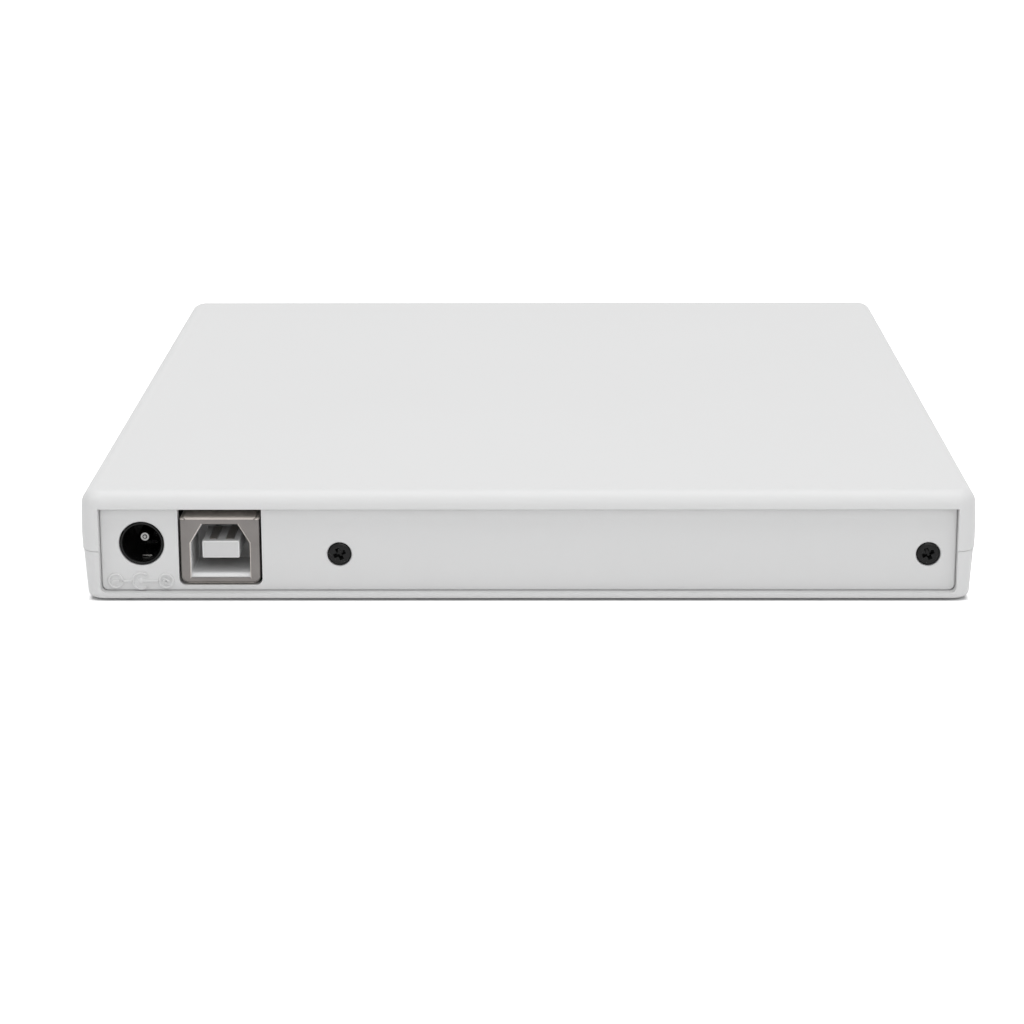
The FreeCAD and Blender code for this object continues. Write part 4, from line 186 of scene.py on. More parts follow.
# The case: two moulded shells, the panel set into the rear, the tray's bezel and its button.
# All five are the same silver-grey plastic, moulded in a spark-eroded tool that leaves a fine satin
# grain. The shells snap together on a lip, and the panel is held by two screws.
MM = 0.001
CLOUD_DETAIL = 4.0
GRAIN_DETAIL = 2.0


def mixed(tree, share, first, second):
    """Colour between two, either of which may come from a node, by a share that comes from a node."""
    mix = tree.nodes.new("ShaderNodeMix")
    mix.data_type = "RGBA"
    tree.links.new(share, mix.inputs["Factor"])
    for name, colour in (("A", first), ("B", second)):
        if isinstance(colour, tuple):
            mix.inputs[name].default_value = (*colour, 1.0)
        else:
            tree.links.new(colour, mix.inputs[name])
    return mix.outputs["Result"]


def moulded(name, dark, light, cloud, grain, rough, bump, metal=0.0, sheen=0.5, stretch=(1.0, 1.0, 1.0)):
    """A surface with a slow drift of colour and sheen, and a fine grain that breaks up its gloss."""
    paint = bpy.data.materials.new(name)
    paint.use_nodes = True
    tree = paint.node_tree
    shader = tree.nodes["Principled BSDF"]
    shader.inputs["Metallic"].default_value = metal
    shader.inputs["Specular IOR Level"].default_value = sheen
    place = tree.nodes.new("ShaderNodeTexCoord")
    turn = tree.nodes.new("ShaderNodeMapping")
    turn.inputs["Scale"].default_value = stretch
    tree.links.new(place.outputs["Object"], turn.inputs["Vector"])
    drift = tree.nodes.new("ShaderNodeTexNoise")
    drift.inputs["Scale"].default_value = cloud
    drift.inputs["Detail"].default_value = CLOUD_DETAIL
    tree.links.new(turn.outputs["Vector"], drift.inputs["Vector"])
    tree.links.new(mixed(tree, drift.outputs["Fac"], dark, light), shader.inputs["Base Color"])
    fine = tree.nodes.new("ShaderNodeTexNoise")
    fine.inputs["Scale"].default_value = grain
    fine.inputs["Detail"].default_value = GRAIN_DETAIL
    tree.links.new(turn.outputs["Vector"], fine.inputs["Vector"])
    gloss = tree.nodes.new("ShaderNodeMapRange")
    gloss.inputs["To Min"].default_value = rough[0]
    gloss.inputs["To Max"].default_value = rough[1]
    tree.links.new(drift.outputs["Fac"], gloss.inputs["Value"])
    tree.links.new(gloss.outputs["Result"], shader.inputs["Roughness"])
    relief = tree.nodes.new("ShaderNodeBump")
    relief.inputs["Strength"].default_value = 1.0
    relief.inputs["Distance"].default_value = bump * MM
    tree.links.new(fine.outputs["Fac"], relief.inputs["Height"])
    tree.links.new(relief.outputs["Normal"], shader.inputs["Normal"])
    return paint


def finish(material, *names):
    """Gives CAD nodes their finish."""
    for name in names:
        for slot in nodes[name].material_slots:
            slot.material = material


case_plastic = moulded(
    "case_plastic", dark=(0.662, 0.662, 0.660), light=(0.690, 0.690, 0.688),
    cloud=22.0, grain=2600.0, rough=(0.42, 0.50), bump=0.012,
)
finish(case_plastic, "top_shell", "bottom_shell", "rear_panel", "front_bezel", "eject_button")

# The square data socket's shell.
# One sheet of tinned steel, 0.3 mm thick, blanked with its D-shaped mouth and folded back on four sides
# round the insulator. Its two upper corners stay open where the folded top meets the folded sides.
SHEET = 0.3
SHELL_X = 46.2
SHELL_LOW = 2.5
SHELL_WIDE = 12.04
SHELL_HIGH = 10.34
SHELL_FACE = 73.5
SHELL_BACK = 57.5
MOUTH_Z = 7.57
MOUTH_WIDE = 8.9
MOUTH_HIGH = 8.3
MOUTH_CUT_WIDE = 1.8
MOUTH_CUT_HIGH = 3.0
SHELL_LOW_ROUND = 1.0
SHELL_LOW_STEPS = 6
SHELL_TOP_ROUND = 0.3
SHELL_TOP_STEPS = 3
SHELL_BEND = 0.38
SHELL_BEND_STEPS = 5
SEAM = 0.62
SEAM_WIDE = 0.12
SEAM_DEEP = 0.42
LIP_ROUND = 0.05
LIP_CURL = 0.12
LIP_STEPS = 3
SHARP = 0.6
EDGE_STEPS = 2
NEAR = 1e-4


def loop_of(shape, points, y):
    """Closed loop through a few points of the XZ plane at depth y, as its edges."""
    corners = [shape.verts.new((x, y, z)) for x, z in points]
    return [shape.edges.new((corners[i - 1], corners[i])) for i in range(len(corners))]


def mouth_points(wide, high):
    """D shape of the socket's mouth about its centre, from its lower left corner on."""
    left, right = SHELL_X - wide / 2, SHELL_X + wide / 2
    low, top = MOUTH_Z - high / 2, MOUTH_Z + high / 2
    return [
        (left, low),
        (right, low),
        (right, top - MOUTH_CUT_HIGH),
        (right - MOUTH_CUT_WIDE, top),
        (left + MOUTH_CUT_WIDE, top),
        (left, top - MOUTH_CUT_HIGH),
    ]


def pushed_out(shape, sides, by):
    """Extrudes open edges by a step, and returns the new vertices and edges."""
    made = bmesh.ops.extrude_edge_only(shape, edges=sides)["geom"]
    corners = [part for part in made if isinstance(part, bmesh.types.BMVert)]
    bmesh.ops.translate(shape, vec=by, verts=corners)
    return corners, [part for part in made if isinstance(part, bmesh.types.BMEdge)]


def finished(name, shape, paint, edge=0.0, sheet=0.0):
    """Makes an object of a shape drawn in millimetres, with its edges broken and its normals outwards."""
    bmesh.ops.remove_doubles(shape, verts=shape.verts, dist=NEAR)
    bmesh.ops.recalc_face_normals(shape, faces=shape.faces)
    bmesh.ops.scale(shape, vec=(MM, MM, MM), verts=shape.verts)
    for face in shape.faces:
        face.smooth = True
    for side in shape.edges:
        side.smooth = side.calc_face_angle(0.0) < SHARP
    mesh = bpy.data.meshes.new(name)
    shape.to_mesh(mesh)
    shape.free()
    mesh.materials.append(paint)
    piece = bpy.data.objects.new(name, mesh)
    scene.collection.objects.link(piece)
    if sheet:
        thick = piece.modifiers.new("sheet", "SOLIDIFY")
        thick.thickness = sheet * MM
        thick.offset = -1.0
    if edge:
        broken = piece.modifiers.new("edges", "BEVEL")
        broken.limit_method = "ANGLE"
        broken.angle_limit = SHARP
        broken.width = edge * MM
        broken.segments = EDGE_STEPS
    if sheet or edge:
        piece.modifiers.new("normals", "WEIGHTED_NORMAL").keep_sharp = True
    return piece


tin = moulded(
    "socket_metal", dark=(0.135, 0.126, 0.121), light=(0.200, 0.188, 0.181),
    cloud=260.0, grain=2200.0, rough=(0.30, 0.42), bump=0.006, metal=1.0,
)
# A lighter, less metallic copy of the socket metal: painted highlight on the top bend and the lip's sides,
# painted light on the lower bend.
tin_painted_highlight = moulded(
    "socket_metal_painted_highlight", dark=(0.50, 0.455, 0.415), light=(0.66, 0.61, 0.565),
    cloud=300.0, grain=2200.0, rough=(0.24, 0.36), bump=0.006, metal=0.2,
)
shape = bmesh.new()
left, right = SHELL_X - SHELL_WIDE / 2, SHELL_X + SHELL_WIDE / 2
top = SHELL_LOW + SHELL_HIGH
blank = []
for side, into in ((right, -1.0), (left, 1.0)):
    corner = [
        (side, SHELL_LOW),
        (side, top - SHELL_TOP_ROUND / 2),
        (side + into * (SEAM - SEAM_WIDE), top - SHELL_TOP_ROUND / 2),
        (side + into * (SEAM - SEAM_WIDE), top - SEAM_DEEP),
        (side + into * SEAM, top - SEAM_DEEP),
        (side + into * SEAM, top),
    ]
    blank += corner if into < 0 else corner[::-1]
loop_of(shape, blank, SHELL_FACE)
corners = list(shape.verts)
low_pair, top_pair = (corners[0], corners[-1]), (corners[1], corners[-2])
for pair, radius, steps in (
    (low_pair, SHELL_LOW_ROUND, SHELL_LOW_STEPS),
    (top_pair, SHELL_TOP_ROUND, SHELL_TOP_STEPS),
):
    bmesh.ops.bevel(
        shape, geom=pair, affect="VERTICES", offset=radius, segments=steps, profile=0.5, material=-1
    )
sides = list(shape.edges)
middle = Matrix.Translation((-SHELL_X, 0.0, -SHELL_LOW - SHELL_HIGH / 2))
flat = (1.0 - 2.0 * SHELL_BEND / SHELL_WIDE, 1.0, 1.0 - 2.0 * SHELL_BEND / SHELL_HIGH)
bmesh.ops.scale(shape, vec=flat, space=middle, verts=shape.verts)
wide, high = MOUTH_WIDE + 2.0 * LIP_CURL, MOUTH_HIGH + 2.0 * LIP_CURL
rim = loop_of(shape, mouth_points(wide, high), SHELL_FACE)
bmesh.ops.triangle_fill(shape, use_beauty=True, edges=sides + rim)
plate = set(shape.faces)
mouth = Matrix.Translation((-SHELL_X, 0.0, -MOUTH_Z))
reach, back = 0.0, 0.0
for step in range(1, LIP_STEPS + 1):
    turn = math.pi / 2 * step / LIP_STEPS
    deeper = LIP_CURL * (1.0 - math.cos(turn))
    corners, rim = pushed_out(shape, rim, (0.0, back - deeper, 0.0))
    closer = 2.0 * LIP_CURL * math.sin(turn)
    by = ((wide - closer) / (wide - reach), 1.0, (high - closer) / (high - reach))
    bmesh.ops.scale(shape, vec=by, space=mouth, verts=corners)
    reach, back = closer, deeper
lip = set(shape.faces) - plate
share, back = 0.0, 0.0
for step in range(1, SHELL_BEND_STEPS + 1):
    turn = math.pi / 2 * step / SHELL_BEND_STEPS
    deeper = SHELL_BEND * (1.0 - math.cos(turn))
    corners, sides = pushed_out(shape, sides, (0.0, back - deeper, 0.0))
    before = [1.0 - (1.0 - size) * (1.0 - share) for size in flat]
    share, back = math.sin(turn), deeper
    after = [1.0 - (1.0 - size) * (1.0 - share) for size in flat]
    by = [new / old for new, old in zip(after, before)]
    bmesh.ops.scale(shape, vec=by, space=middle, verts=corners)
pushed_out(shape, sides, (0.0, SHELL_BACK - SHELL_FACE + SHELL_BEND, 0.0))
# The top bend, the lip's upright sides and the lower bend take the lighter copy: painted highlight and
# painted light.
for cell in shape.faces:
    folded = cell not in plate and cell.calc_center_median().z > top - SHELL_BEND
    upright = cell in lip and abs(cell.normal.x) > abs(cell.normal.z)
    under = cell not in plate and cell.calc_center_median().z < SHELL_LOW + SHELL_BEND / 3
    cell.material_index = int(folded or upright or under)
data_shell = finished("data_socket_shell", shape, tin, edge=LIP_ROUND, sheet=SHEET)
data_shell.data.materials.append(tin_painted_highlight)
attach(data_shell, "case")
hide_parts("usb_socket_shell")

# The data socket's insulator.
# A moulding of white nylon that fills the shell, with a D-shaped cavity and a square tongue in it. The
# tongue has four grooves for the contacts, two above and two below.
ENTRY_WIDE = 8.9
ENTRY_HIGH = 8.2
ENTRY_DEEP = 0.5
CAVITY_WIDE = 8.75
CAVITY_HIGH = 7.75
CAVITY_DEEP = 9.0
CORE_BACK = 58.0
CORE_EDGE = 0.2
CORE_SET_BACK = 0.25
CORE_GLOW = 0.4
TONGUE_WIDE = 5.6
TONGUE_HIGH = 2.65
TONGUE_DROP = 0.03
TONGUE_RECESS = 1.0
CONTACT_PITCH = 2.5
GROOVE_WIDE = 1.16
GROOVE_DEEP = 0.35
GROOVE_START = 1.2
# Painted shade: between these depths the socket plastic darkens to half its colour, deep in the cavity.
PAINTED_SHADE_START = 63.0
PAINTED_SHADE_END = 72.2
PAINTED_SHADE_LEVEL = 0.50


def with_painted_depth_shade(paint):
    """Darkens a colour with the depth behind the rear face: painted shade for the socket's deep cavity."""
    tree = paint.node_tree
    base = tree.nodes["Principled BSDF"].inputs["Base Color"]
    plain = base.links[0].from_socket
    place = next(node for node in tree.nodes if node.type == "TEX_COORD")
    split = tree.nodes.new("ShaderNodeSeparateXYZ")
    tree.links.new(place.outputs["Object"], split.inputs["Vector"])
    depth = tree.nodes.new("ShaderNodeMapRange")
    depth.inputs["From Min"].default_value = PAINTED_SHADE_START * MM
    depth.inputs["From Max"].default_value = PAINTED_SHADE_END * MM
    depth.inputs["To Min"].default_value = PAINTED_SHADE_LEVEL
    tree.links.new(split.outputs["Y"], depth.inputs["Value"])
    tree.links.new(mixed(tree, depth.outputs["Result"], (0.0, 0.0, 0.0), plain), base)
    return paint


def once_each(parts):
    """The parts in their order, each of them once."""
    return list(dict.fromkeys(parts))


def at_level(shape, z):
    """Faces that lie flat at a level."""
    return [cell for cell in shape.faces if all(abs(end.co.z - z) < NEAR for end in cell.verts)]


ivory = moulded(
    "socket_plastic", dark=(0.62, 0.62, 0.62), light=(0.68, 0.68, 0.68),
    cloud=90.0, grain=2400.0, rough=(0.30, 0.40), bump=0.008,
)
# The socket plastic darkens with depth into the cavity: painted shade.
shader = with_painted_depth_shade(ivory).node_tree.nodes["Principled BSDF"]
shader.inputs["Subsurface Weight"].default_value = CORE_GLOW
shader.inputs["Subsurface Radius"].default_value = (1.0, 1.0, 1.0)
shader.inputs["Subsurface Scale"].default_value = MM
# A lighter copy of the socket plastic for the broken edges and the lower faces of the lead-in: painted
# highlight.
ivory_painted_highlight = moulded(
    "socket_edge", dark=(0.88, 0.88, 0.88), light=(0.93, 0.93, 0.93),
    cloud=90.0, grain=2400.0, rough=(0.20, 0.30), bump=0.004,
)
shape = bmesh.new()
core_face = SHELL_FACE - SHEET - CORE_SET_BACK
low, high = SHELL_LOW + SHEET, top - SHEET
square = [(left + SHEET, low), (right - SHEET, low), (right - SHEET, high), (left + SHEET, high)]
outer = loop_of(shape, square, core_face)
rim = loop_of(shape, mouth_points(ENTRY_WIDE, ENTRY_HIGH), core_face)
bmesh.ops.triangle_fill(shape, use_beauty=True, edges=outer + rim)
_, closing = pushed_out(shape, outer, (0.0, CORE_BACK - core_face, 0.0))
bmesh.ops.holes_fill(shape, edges=closing)
face_and_back = set(shape.faces)
corners, rim = pushed_out(shape, rim, (0.0, -ENTRY_DEEP, (ENTRY_HIGH - CAVITY_HIGH) / 2))
by = (CAVITY_WIDE / ENTRY_WIDE, 1.0, CAVITY_HIGH / ENTRY_HIGH)
bmesh.ops.scale(shape, vec=by, space=mouth, verts=corners)
lead_in_top = MOUTH_Z - CAVITY_HIGH / 2 + ENTRY_DEEP
# The lower faces of the lead-in take the lighter copy: painted highlight.
for cell in set(shape.faces) - face_and_back:
    cell.material_index = int(cell.calc_center_median().z < lead_in_top)
_, floor = pushed_out(shape, rim, (0.0, ENTRY_DEEP - CAVITY_DEEP, 0.0))
tongue_back = core_face - CAVITY_DEEP
tongue_z = MOUTH_Z - TONGUE_DROP
half, tall = TONGUE_WIDE / 2, TONGUE_HIGH / 2
foot = [(SHELL_X - half, tongue_z - tall), (SHELL_X + half, tongue_z - tall)]
foot += [(SHELL_X + half, tongue_z + tall), (SHELL_X - half, tongue_z + tall)]
root = loop_of(shape, foot, tongue_back)
bmesh.ops.triangle_fill(shape, use_beauty=True, edges=floor + root)
tongue_long = SHELL_FACE - TONGUE_RECESS - tongue_back
pushed_out(shape, root, (0.0, tongue_long - GROOVE_START, 0.0))
for face_z in (tongue_z - tall, tongue_z + tall):
    for middle_x in (SHELL_X - CONTACT_PITCH / 2, SHELL_X + CONTACT_PITCH / 2):
        for cut_x in (middle_x - GROOVE_WIDE / 2, middle_x + GROOVE_WIDE / 2):
            level = at_level(shape, face_z)
            sides = once_each(side for cell in level for side in cell.edges)
            ends = once_each(end for cell in level for end in cell.verts)
            bmesh.ops.bisect_plane(
                shape,
                geom=[*level, *sides, *ends],
                plane_co=(cut_x, 0.0, 0.0),
                plane_no=(1.0, 0.0, 0.0),
            )
        strip = [
            cell
            for cell in at_level(shape, face_z)
            if abs(cell.calc_center_median().x - middle_x) < GROOVE_WIDE / 4
        ]
        sunk = bmesh.ops.extrude_face_region(shape, geom=strip)["geom"]
        bmesh.ops.delete(shape, geom=[cell for cell in strip if cell.is_valid], context="FACES_ONLY")
        corners = [part for part in sunk if isinstance(part, bmesh.types.BMVert)]
        deep = GROOVE_DEEP if face_z < tongue_z else -GROOVE_DEEP
        bmesh.ops.translate(shape, vec=(0.0, 0.0, deep), verts=corners)
groove_ends = [side for side in shape.edges if side.is_boundary]
_, tip = pushed_out(shape, groove_ends, (0.0, GROOVE_START, 0.0))
bmesh.ops.holes_fill(shape, edges=tip)
data_core = finished("data_socket_insulator", shape, ivory, edge=CORE_EDGE)
# The broken edges take the lighter copy of the socket plastic: painted highlight.
data_core.data.materials.append(with_painted_depth_shade(ivory_painted_highlight))
data_core.modifiers["edges"].material = 1
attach(data_core, "case")
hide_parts("usb_socket_insulator")

# The polarity sign under the power socket.
# Raised round lines moulded in one with the rear panel, of the same silver-grey plastic: a ring with a
# minus, a cup round the centre dot, and a ring with a plus.
PANEL_FACE = 73.5
MARK_X = 58.25
MARK_Z = 2.92
MARK_PITCH = 3.8
MARK_RING = 1.04
MARK_CUP = 1.25
MARK_SIGN = 0.5
CUP_MOUTH = 48.0
RIDGE = (
    # across the ridge, proud of the panel
    (-0.2, -0.02),
    (-0.18, 0.15),
    (-0.1, 0.24),
    (0.1, 0.24),
    (0.18, 0.15),
    (0.2, -0.02),
)
DOT = (
    # radius, proud of the panel
    (0.0, 0.26),
    (0.32, 0.22),
    (0.46, 0.12),
    (0.5, -0.02),
)
RING_STEPS = 32
ALONG_Y = (0.0, 1.0, 0.0)


def line_of(shape, points):
    """Open line through a few points, as its vertices and edges."""
    corners = [shape.verts.new(point) for point in points]
    return corners, [shape.edges.new(pair) for pair in zip(corners, corners[1:])]


def full_turn(shape, points, centre, axis, steps):
    """Turns an open line by a whole circle about an axis, as on a lathe."""
    corners, line = line_of(shape, points)
    bmesh.ops.spin(
        shape, geom=corners + line, cent=centre, axis=axis, angle=math.tau, steps=steps, use_merge=True
    )
    bmesh.ops.remove_doubles(shape, verts=shape.verts, dist=NEAR)


def ridge_ring(shape, x, radius, start=0.0, turn=360.0):
    """Half-round ridge along an arc about x, from an angle to image left, seen from the rear."""
    corners, line = line_of(
        shape, [(x + radius + across, PANEL_FACE + proud, MARK_Z) for across, proud in RIDGE]
    )
    centre = (x, PANEL_FACE, MARK_Z)
    spot = Matrix.Rotation(math.radians(-start), 3, "Y")
    bmesh.ops.rotate(shape, cent=centre, matrix=spot, verts=corners)
    bmesh.ops.spin(
        shape,
        geom=corners + line,
        cent=centre,
        axis=ALONG_Y,
        angle=math.radians(-turn),
        steps=RING_STEPS,
        use_merge=turn == 360.0,
    )


def ridge_bar(shape, start, end, upright=False):
    """Half-round ridge along a straight line, from one place on the panel to another."""
    corners, line = line_of(shape, [(across, PANEL_FACE + proud, 0.0) for across, proud in RIDGE])
    if not upright:
        turn = Matrix.Rotation(math.radians(90.0), 3, "Y")
        bmesh.ops.rotate(shape, cent=(0.0, PANEL_FACE, 0.0), matrix=turn, verts=corners)
    bmesh.ops.translate(shape, vec=(start[0], 0.0, start[1]), verts=corners)
    pushed_out(shape, line, (end[0] - start[0], 0.0, end[1] - start[1]))


shape = bmesh.new()
minus_x, plus_x = MARK_X + MARK_PITCH, MARK_X - MARK_PITCH
ridge_ring(shape, minus_x, MARK_RING)
ridge_ring(shape, plus_x, MARK_RING)
ridge_ring(shape, MARK_X, MARK_CUP, 180.0 + CUP_MOUTH, 360.0 - 2.0 * CUP_MOUTH)
ridge_bar(shape, (MARK_X + MARK_CUP, MARK_Z), (minus_x - MARK_RING, MARK_Z))
ridge_bar(shape, (plus_x + MARK_RING, MARK_Z), (MARK_X, MARK_Z))
ridge_bar(shape, (minus_x - MARK_SIGN, MARK_Z), (minus_x + MARK_SIGN, MARK_Z))
ridge_bar(shape, (plus_x - MARK_SIGN, MARK_Z), (plus_x + MARK_SIGN, MARK_Z))
ridge_bar(shape, (plus_x, MARK_Z - MARK_SIGN), (plus_x, MARK_Z + MARK_SIGN), upright=True)
dome = [(MARK_X + radius, PANEL_FACE + proud, MARK_Z) for radius, proud in DOT]
full_turn(shape, dome, (MARK_X, PANEL_FACE, MARK_Z), ALONG_Y, RING_STEPS)
sign = finished("polarity_sign", shape, case_plastic)
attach(sign, "case")

# The round power socket.
# A black glass-filled moulding soldered to the board, whose round collar fills the panel's hole. In its
# bore stand a nickel-plated centre pin with a rounded, drilled tip, and a sprung leaf of plated bronze.
DC_X = 58.0
DC_Z = 8.7
DC_WIDE = 9.0
DC_LOW = 2.5
DC_HIGH = 13.2
DC_FRONT = 71.7
DC_REAR = 58.2
DC_FLOOR = 62.2
DC_EDGE = 0.06
ROUND_STEPS = 48
COLLAR = (
    # radius, y
    (3.3, DC_FRONT),
    (3.3, 73.15),
    (3.22, 73.32),
    (3.08, 73.36),
    (2.94, 73.3),
    (2.86, 73.1),
    (2.78, DC_FLOOR),
    (0.0, DC_FLOOR),
)
PIN = (
    # radius, y
    (1.0, DC_FLOOR),
    (1.0, 68.9),
    (0.86, 69.3),
    (0.62, 69.5),
    (0.36, 69.5),
    (0.26, 69.35),
    (0.0, 69.25),
)
LEAF = (
    # y, z
    (DC_FLOOR, 6.1),
    (65.0, 6.6),
    (67.2, 6.85),
    (69.0, 6.5),
    (70.2, 6.1),
    (70.5, 6.12),
)
LEAF_X = 56.7
LEAF_WIDE = 1.6
LEAF_THICK = 0.15
LEAF_EDGE = 0.03
BLACK_SHEEN = 0.18

jack_black = moulded(
    "jack_plastic", dark=(0.003, 0.003, 0.003), light=(0.006, 0.006, 0.006),
    cloud=120.0, grain=2400.0, rough=(0.20, 0.30), bump=0.006, sheen=BLACK_SHEEN,
)
shape = bmesh.new()
full_turn(shape, [(DC_X + radius, y, DC_Z) for radius, y in COLLAR], (DC_X, 0.0, DC_Z), ALONG_Y, ROUND_STEPS)
root = [side for side in shape.edges if all(abs(end.co.y - DC_FRONT) < NEAR for end in side.verts)]
half = DC_WIDE / 2
square = [(DC_X - half, DC_LOW), (DC_X + half, DC_LOW), (DC_X + half, DC_HIGH), (DC_X - half, DC_HIGH)]
outer = loop_of(shape, square, DC_FRONT)
bmesh.ops.triangle_fill(shape, use_beauty=True, edges=root + outer)
_, closing = pushed_out(shape, outer, (0.0, DC_REAR - DC_FRONT, 0.0))
bmesh.ops.holes_fill(shape, edges=closing)
jack = finished("power_socket_housing", shape, jack_black, edge=DC_EDGE)
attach(jack, "case")
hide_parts("dc_jack_housing")
nickel = moulded(
    "pin_nickel", dark=(0.20, 0.20, 0.20), light=(0.30, 0.30, 0.295),
    cloud=500.0, grain=2600.0, rough=(0.16, 0.26), bump=0.004, metal=1.0,
)
shape = bmesh.new()
full_turn(shape, [(DC_X + radius, y, DC_Z) for radius, y in PIN], (DC_X, 0.0, DC_Z), ALONG_Y, ROUND_STEPS)
pin = finished("power_socket_pin", shape, nickel)
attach(pin, "case")
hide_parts("dc_jack_contacts")
bronze = moulded(
    "plated_bronze", dark=(0.24, 0.235, 0.225), light=(0.36, 0.35, 0.335),
    cloud=300.0, grain=2600.0, rough=(0.20, 0.32), bump=0.004, metal=1.0,
)
shape = bmesh.new()
_, line = line_of(shape, [(LEAF_X, y, z) for y, z in LEAF])
pushed_out(shape, line, (LEAF_WIDE, 0.0, 0.0))
leaf = finished("power_socket_leaf", shape, bronze, sheet=LEAF_THICK, edge=LEAF_EDGE)
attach(leaf, "case")

# The screws.
# Cross-head machine screws of heat-treated steel: black oxide ones hold the panel and the drive, bare
# zinc-plated ones hold the drive's cover and the tray's parts. Threads are rolled, heads are cold-headed.
SCREW_STEPS = 24
SCREW_EDGE = 0.03
THREAD = 0.45
THREAD_DEEP = 0.16
HEAD_FLAT = 0.62
HEAD_DROP = 0.3
DOME = ((0.86, 0.12), (0.96, 0.45), (1.0, 1.0))
FLUSH_RIM = 0.96
FLUSH_DROP = 0.06
CROSS_WIDE = 0.88
CROSS_DEEP = 0.75
CROSS_TAPER = 0.55
PANEL_CROSS_TURN = 24.0
SCREWS = {
    # name: node, body, facing, head radius, head high, shank radius, shank long, flush, places of the heads
    "panel_screw": (
        "rear_panel_screws", "case", "rear", 1.75, 1.1, 1.0, 6.2, False,
        {"right": (28.3, 73.3, 7.04), "left": (-60.0, 73.3, 7.04)},
    ),
    "mount_screw": (
        "drive_mount_screws", "case", "down", 1.8, 0.5, 1.0, 3.5, True,
        {"a": (55.0, 49.0, 0.4), "b": (-55.0, 49.0, 0.4)},
    ),
    "cover_screw": (
        "cover_screws", "case", "up", 1.7, 0.3, 0.8, 1.4, False,
        {
            "a": (61.0, -60.5, 15.05),
            "b": (-61.0, -60.5, 15.05),
            "c": (61.0, 46.5, 15.05),
            "d": (-61.0, 46.5, 15.05),
        },
    ),
    "plate_screw": (
        "tray_screws", "tray_unit", "down", 1.5, 0.4, 0.7, 1.9, True,
        {"a": (-49.4, -69.0, 2.9), "b": (16.7, -69.0, 2.9), "c": (-58.85, -8.0, 2.9)},
    ),
    "frame_screw": (
        "tray_screws", "tray_unit", "down", 2.4, 0.5, 0.7, 3.9, False,
        {"a": (16.26, 8.26, 3.0), "b": (-38.54, -11.89, 3.0), "c": (-3.89, -46.54, 3.0)},
    ),
    "board_screw": (
        "tray_screws", "tray_unit", "down", 1.5, 0.4, 0.7, 2.7, False,
        {"a": (11.0, 17.0, 4.3), "b": (53.0, 17.0, 4.3), "c": (53.0, 35.5, 4.3)},
    ),
}
FACING = {
    "up": Matrix.Identity(4),
    "down": Matrix.Rotation(math.pi, 4, "X"),
    "rear": Matrix.Rotation(-math.pi / 2, 4, "X") @ Matrix.Rotation(math.radians(PANEL_CROSS_TURN), 4, "Z"),
}


def cross_screw(head, high, shank, long, flush):
    """Screw with its head's top at the origin and its shank along -Z: turned outline and tapered cross."""
    shape = bmesh.new()
    flat = head * HEAD_FLAT
    if flush:
        profile = [(flat, 0.0), (head * FLUSH_RIM, 0.0), (head, -FLUSH_DROP), (shank, -high)]
    else:
        drop = min(HEAD_DROP, high / 3)
        profile = [(flat, 0.0), *((head * across, -drop * down) for across, down in DOME)]
        profile += [(head, -high), (shank, -high)]
    level = -high
    while level - THREAD > -high - long + THREAD:
        profile += [(shank, level - THREAD / 4), (shank - THREAD_DEEP, level - THREAD * 3 / 4)]
        level -= THREAD
    profile += [(shank - THREAD_DEEP, -high - long), (0.0, -high - long)]
    outline = [(radius, 0.0, z) for radius, z in profile]
    full_turn(shape, outline, (0.0, 0.0, 0.0), (0.0, 0.0, 1.0), SCREW_STEPS)
    rim = [side for side in shape.edges if side.is_boundary]
    arm = flat * CROSS_WIDE
    grid = bmesh.ops.create_grid(shape, x_segments=3, y_segments=3, size=arm)["verts"]
    between_arms = []
    for cell in once_each(cell for corner in grid for cell in corner.link_faces):
        middle = cell.calc_center_median()
        if min(abs(middle.x), abs(middle.y)) > arm / 3:
            between_arms.append(cell)
    bmesh.ops.delete(shape, geom=between_arms, context="FACES")
    grid = [corner for corner in grid if corner.is_valid]
    deep = min(high * CROSS_DEEP, arm)
    bmesh.ops.scale(shape, vec=(CROSS_TAPER, CROSS_TAPER, 1.0), verts=grid)
    bmesh.ops.translate(shape, vec=(0.0, 0.0, -deep), verts=grid)
    edge = once_each(side for corner in grid for side in corner.link_edges if side.is_boundary)
    made, mouth = pushed_out(shape, edge, (0.0, 0.0, deep))
    bmesh.ops.scale(shape, vec=(1.0 / CROSS_TAPER, 1.0 / CROSS_TAPER, 1.0), verts=made)
    bmesh.ops.triangle_fill(shape, use_beauty=True, edges=rim + mouth)
    return shape


black_steel = moulded(
    "black_steel", dark=(0.003, 0.003, 0.003), light=(0.008, 0.008, 0.008),
    cloud=900.0, grain=3000.0, rough=(0.18, 0.30), bump=0.012, sheen=BLACK_SHEEN,
)
screw_steel = moulded(
    "screw_steel", dark=(0.42, 0.42, 0.43), light=(0.58, 0.58, 0.59),
    cloud=700.0, grain=3000.0, rough=(0.22, 0.38), bump=0.008, metal=1.0,
)
replaced = set()
for kind, (node, body, facing, head, high, shank, long, flush, places) in SCREWS.items():
    black = node in ("rear_panel_screws", "drive_mount_screws")
    paint, slot = (black_steel, "black_screw") if black else (screw_steel, "screw_steel")
    for which, place in places.items():
        shape = cross_screw(head, high, shank, long, flush)
        bmesh.ops.transform(shape, matrix=Matrix.Translation(place) @ FACING[facing], verts=shape.verts)
        piece = finished(f"{kind}_{which}", shape, paint, edge=SCREW_EDGE)
        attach(piece, body)
        if node not in replaced:
            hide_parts(node)
            replaced.add(node)

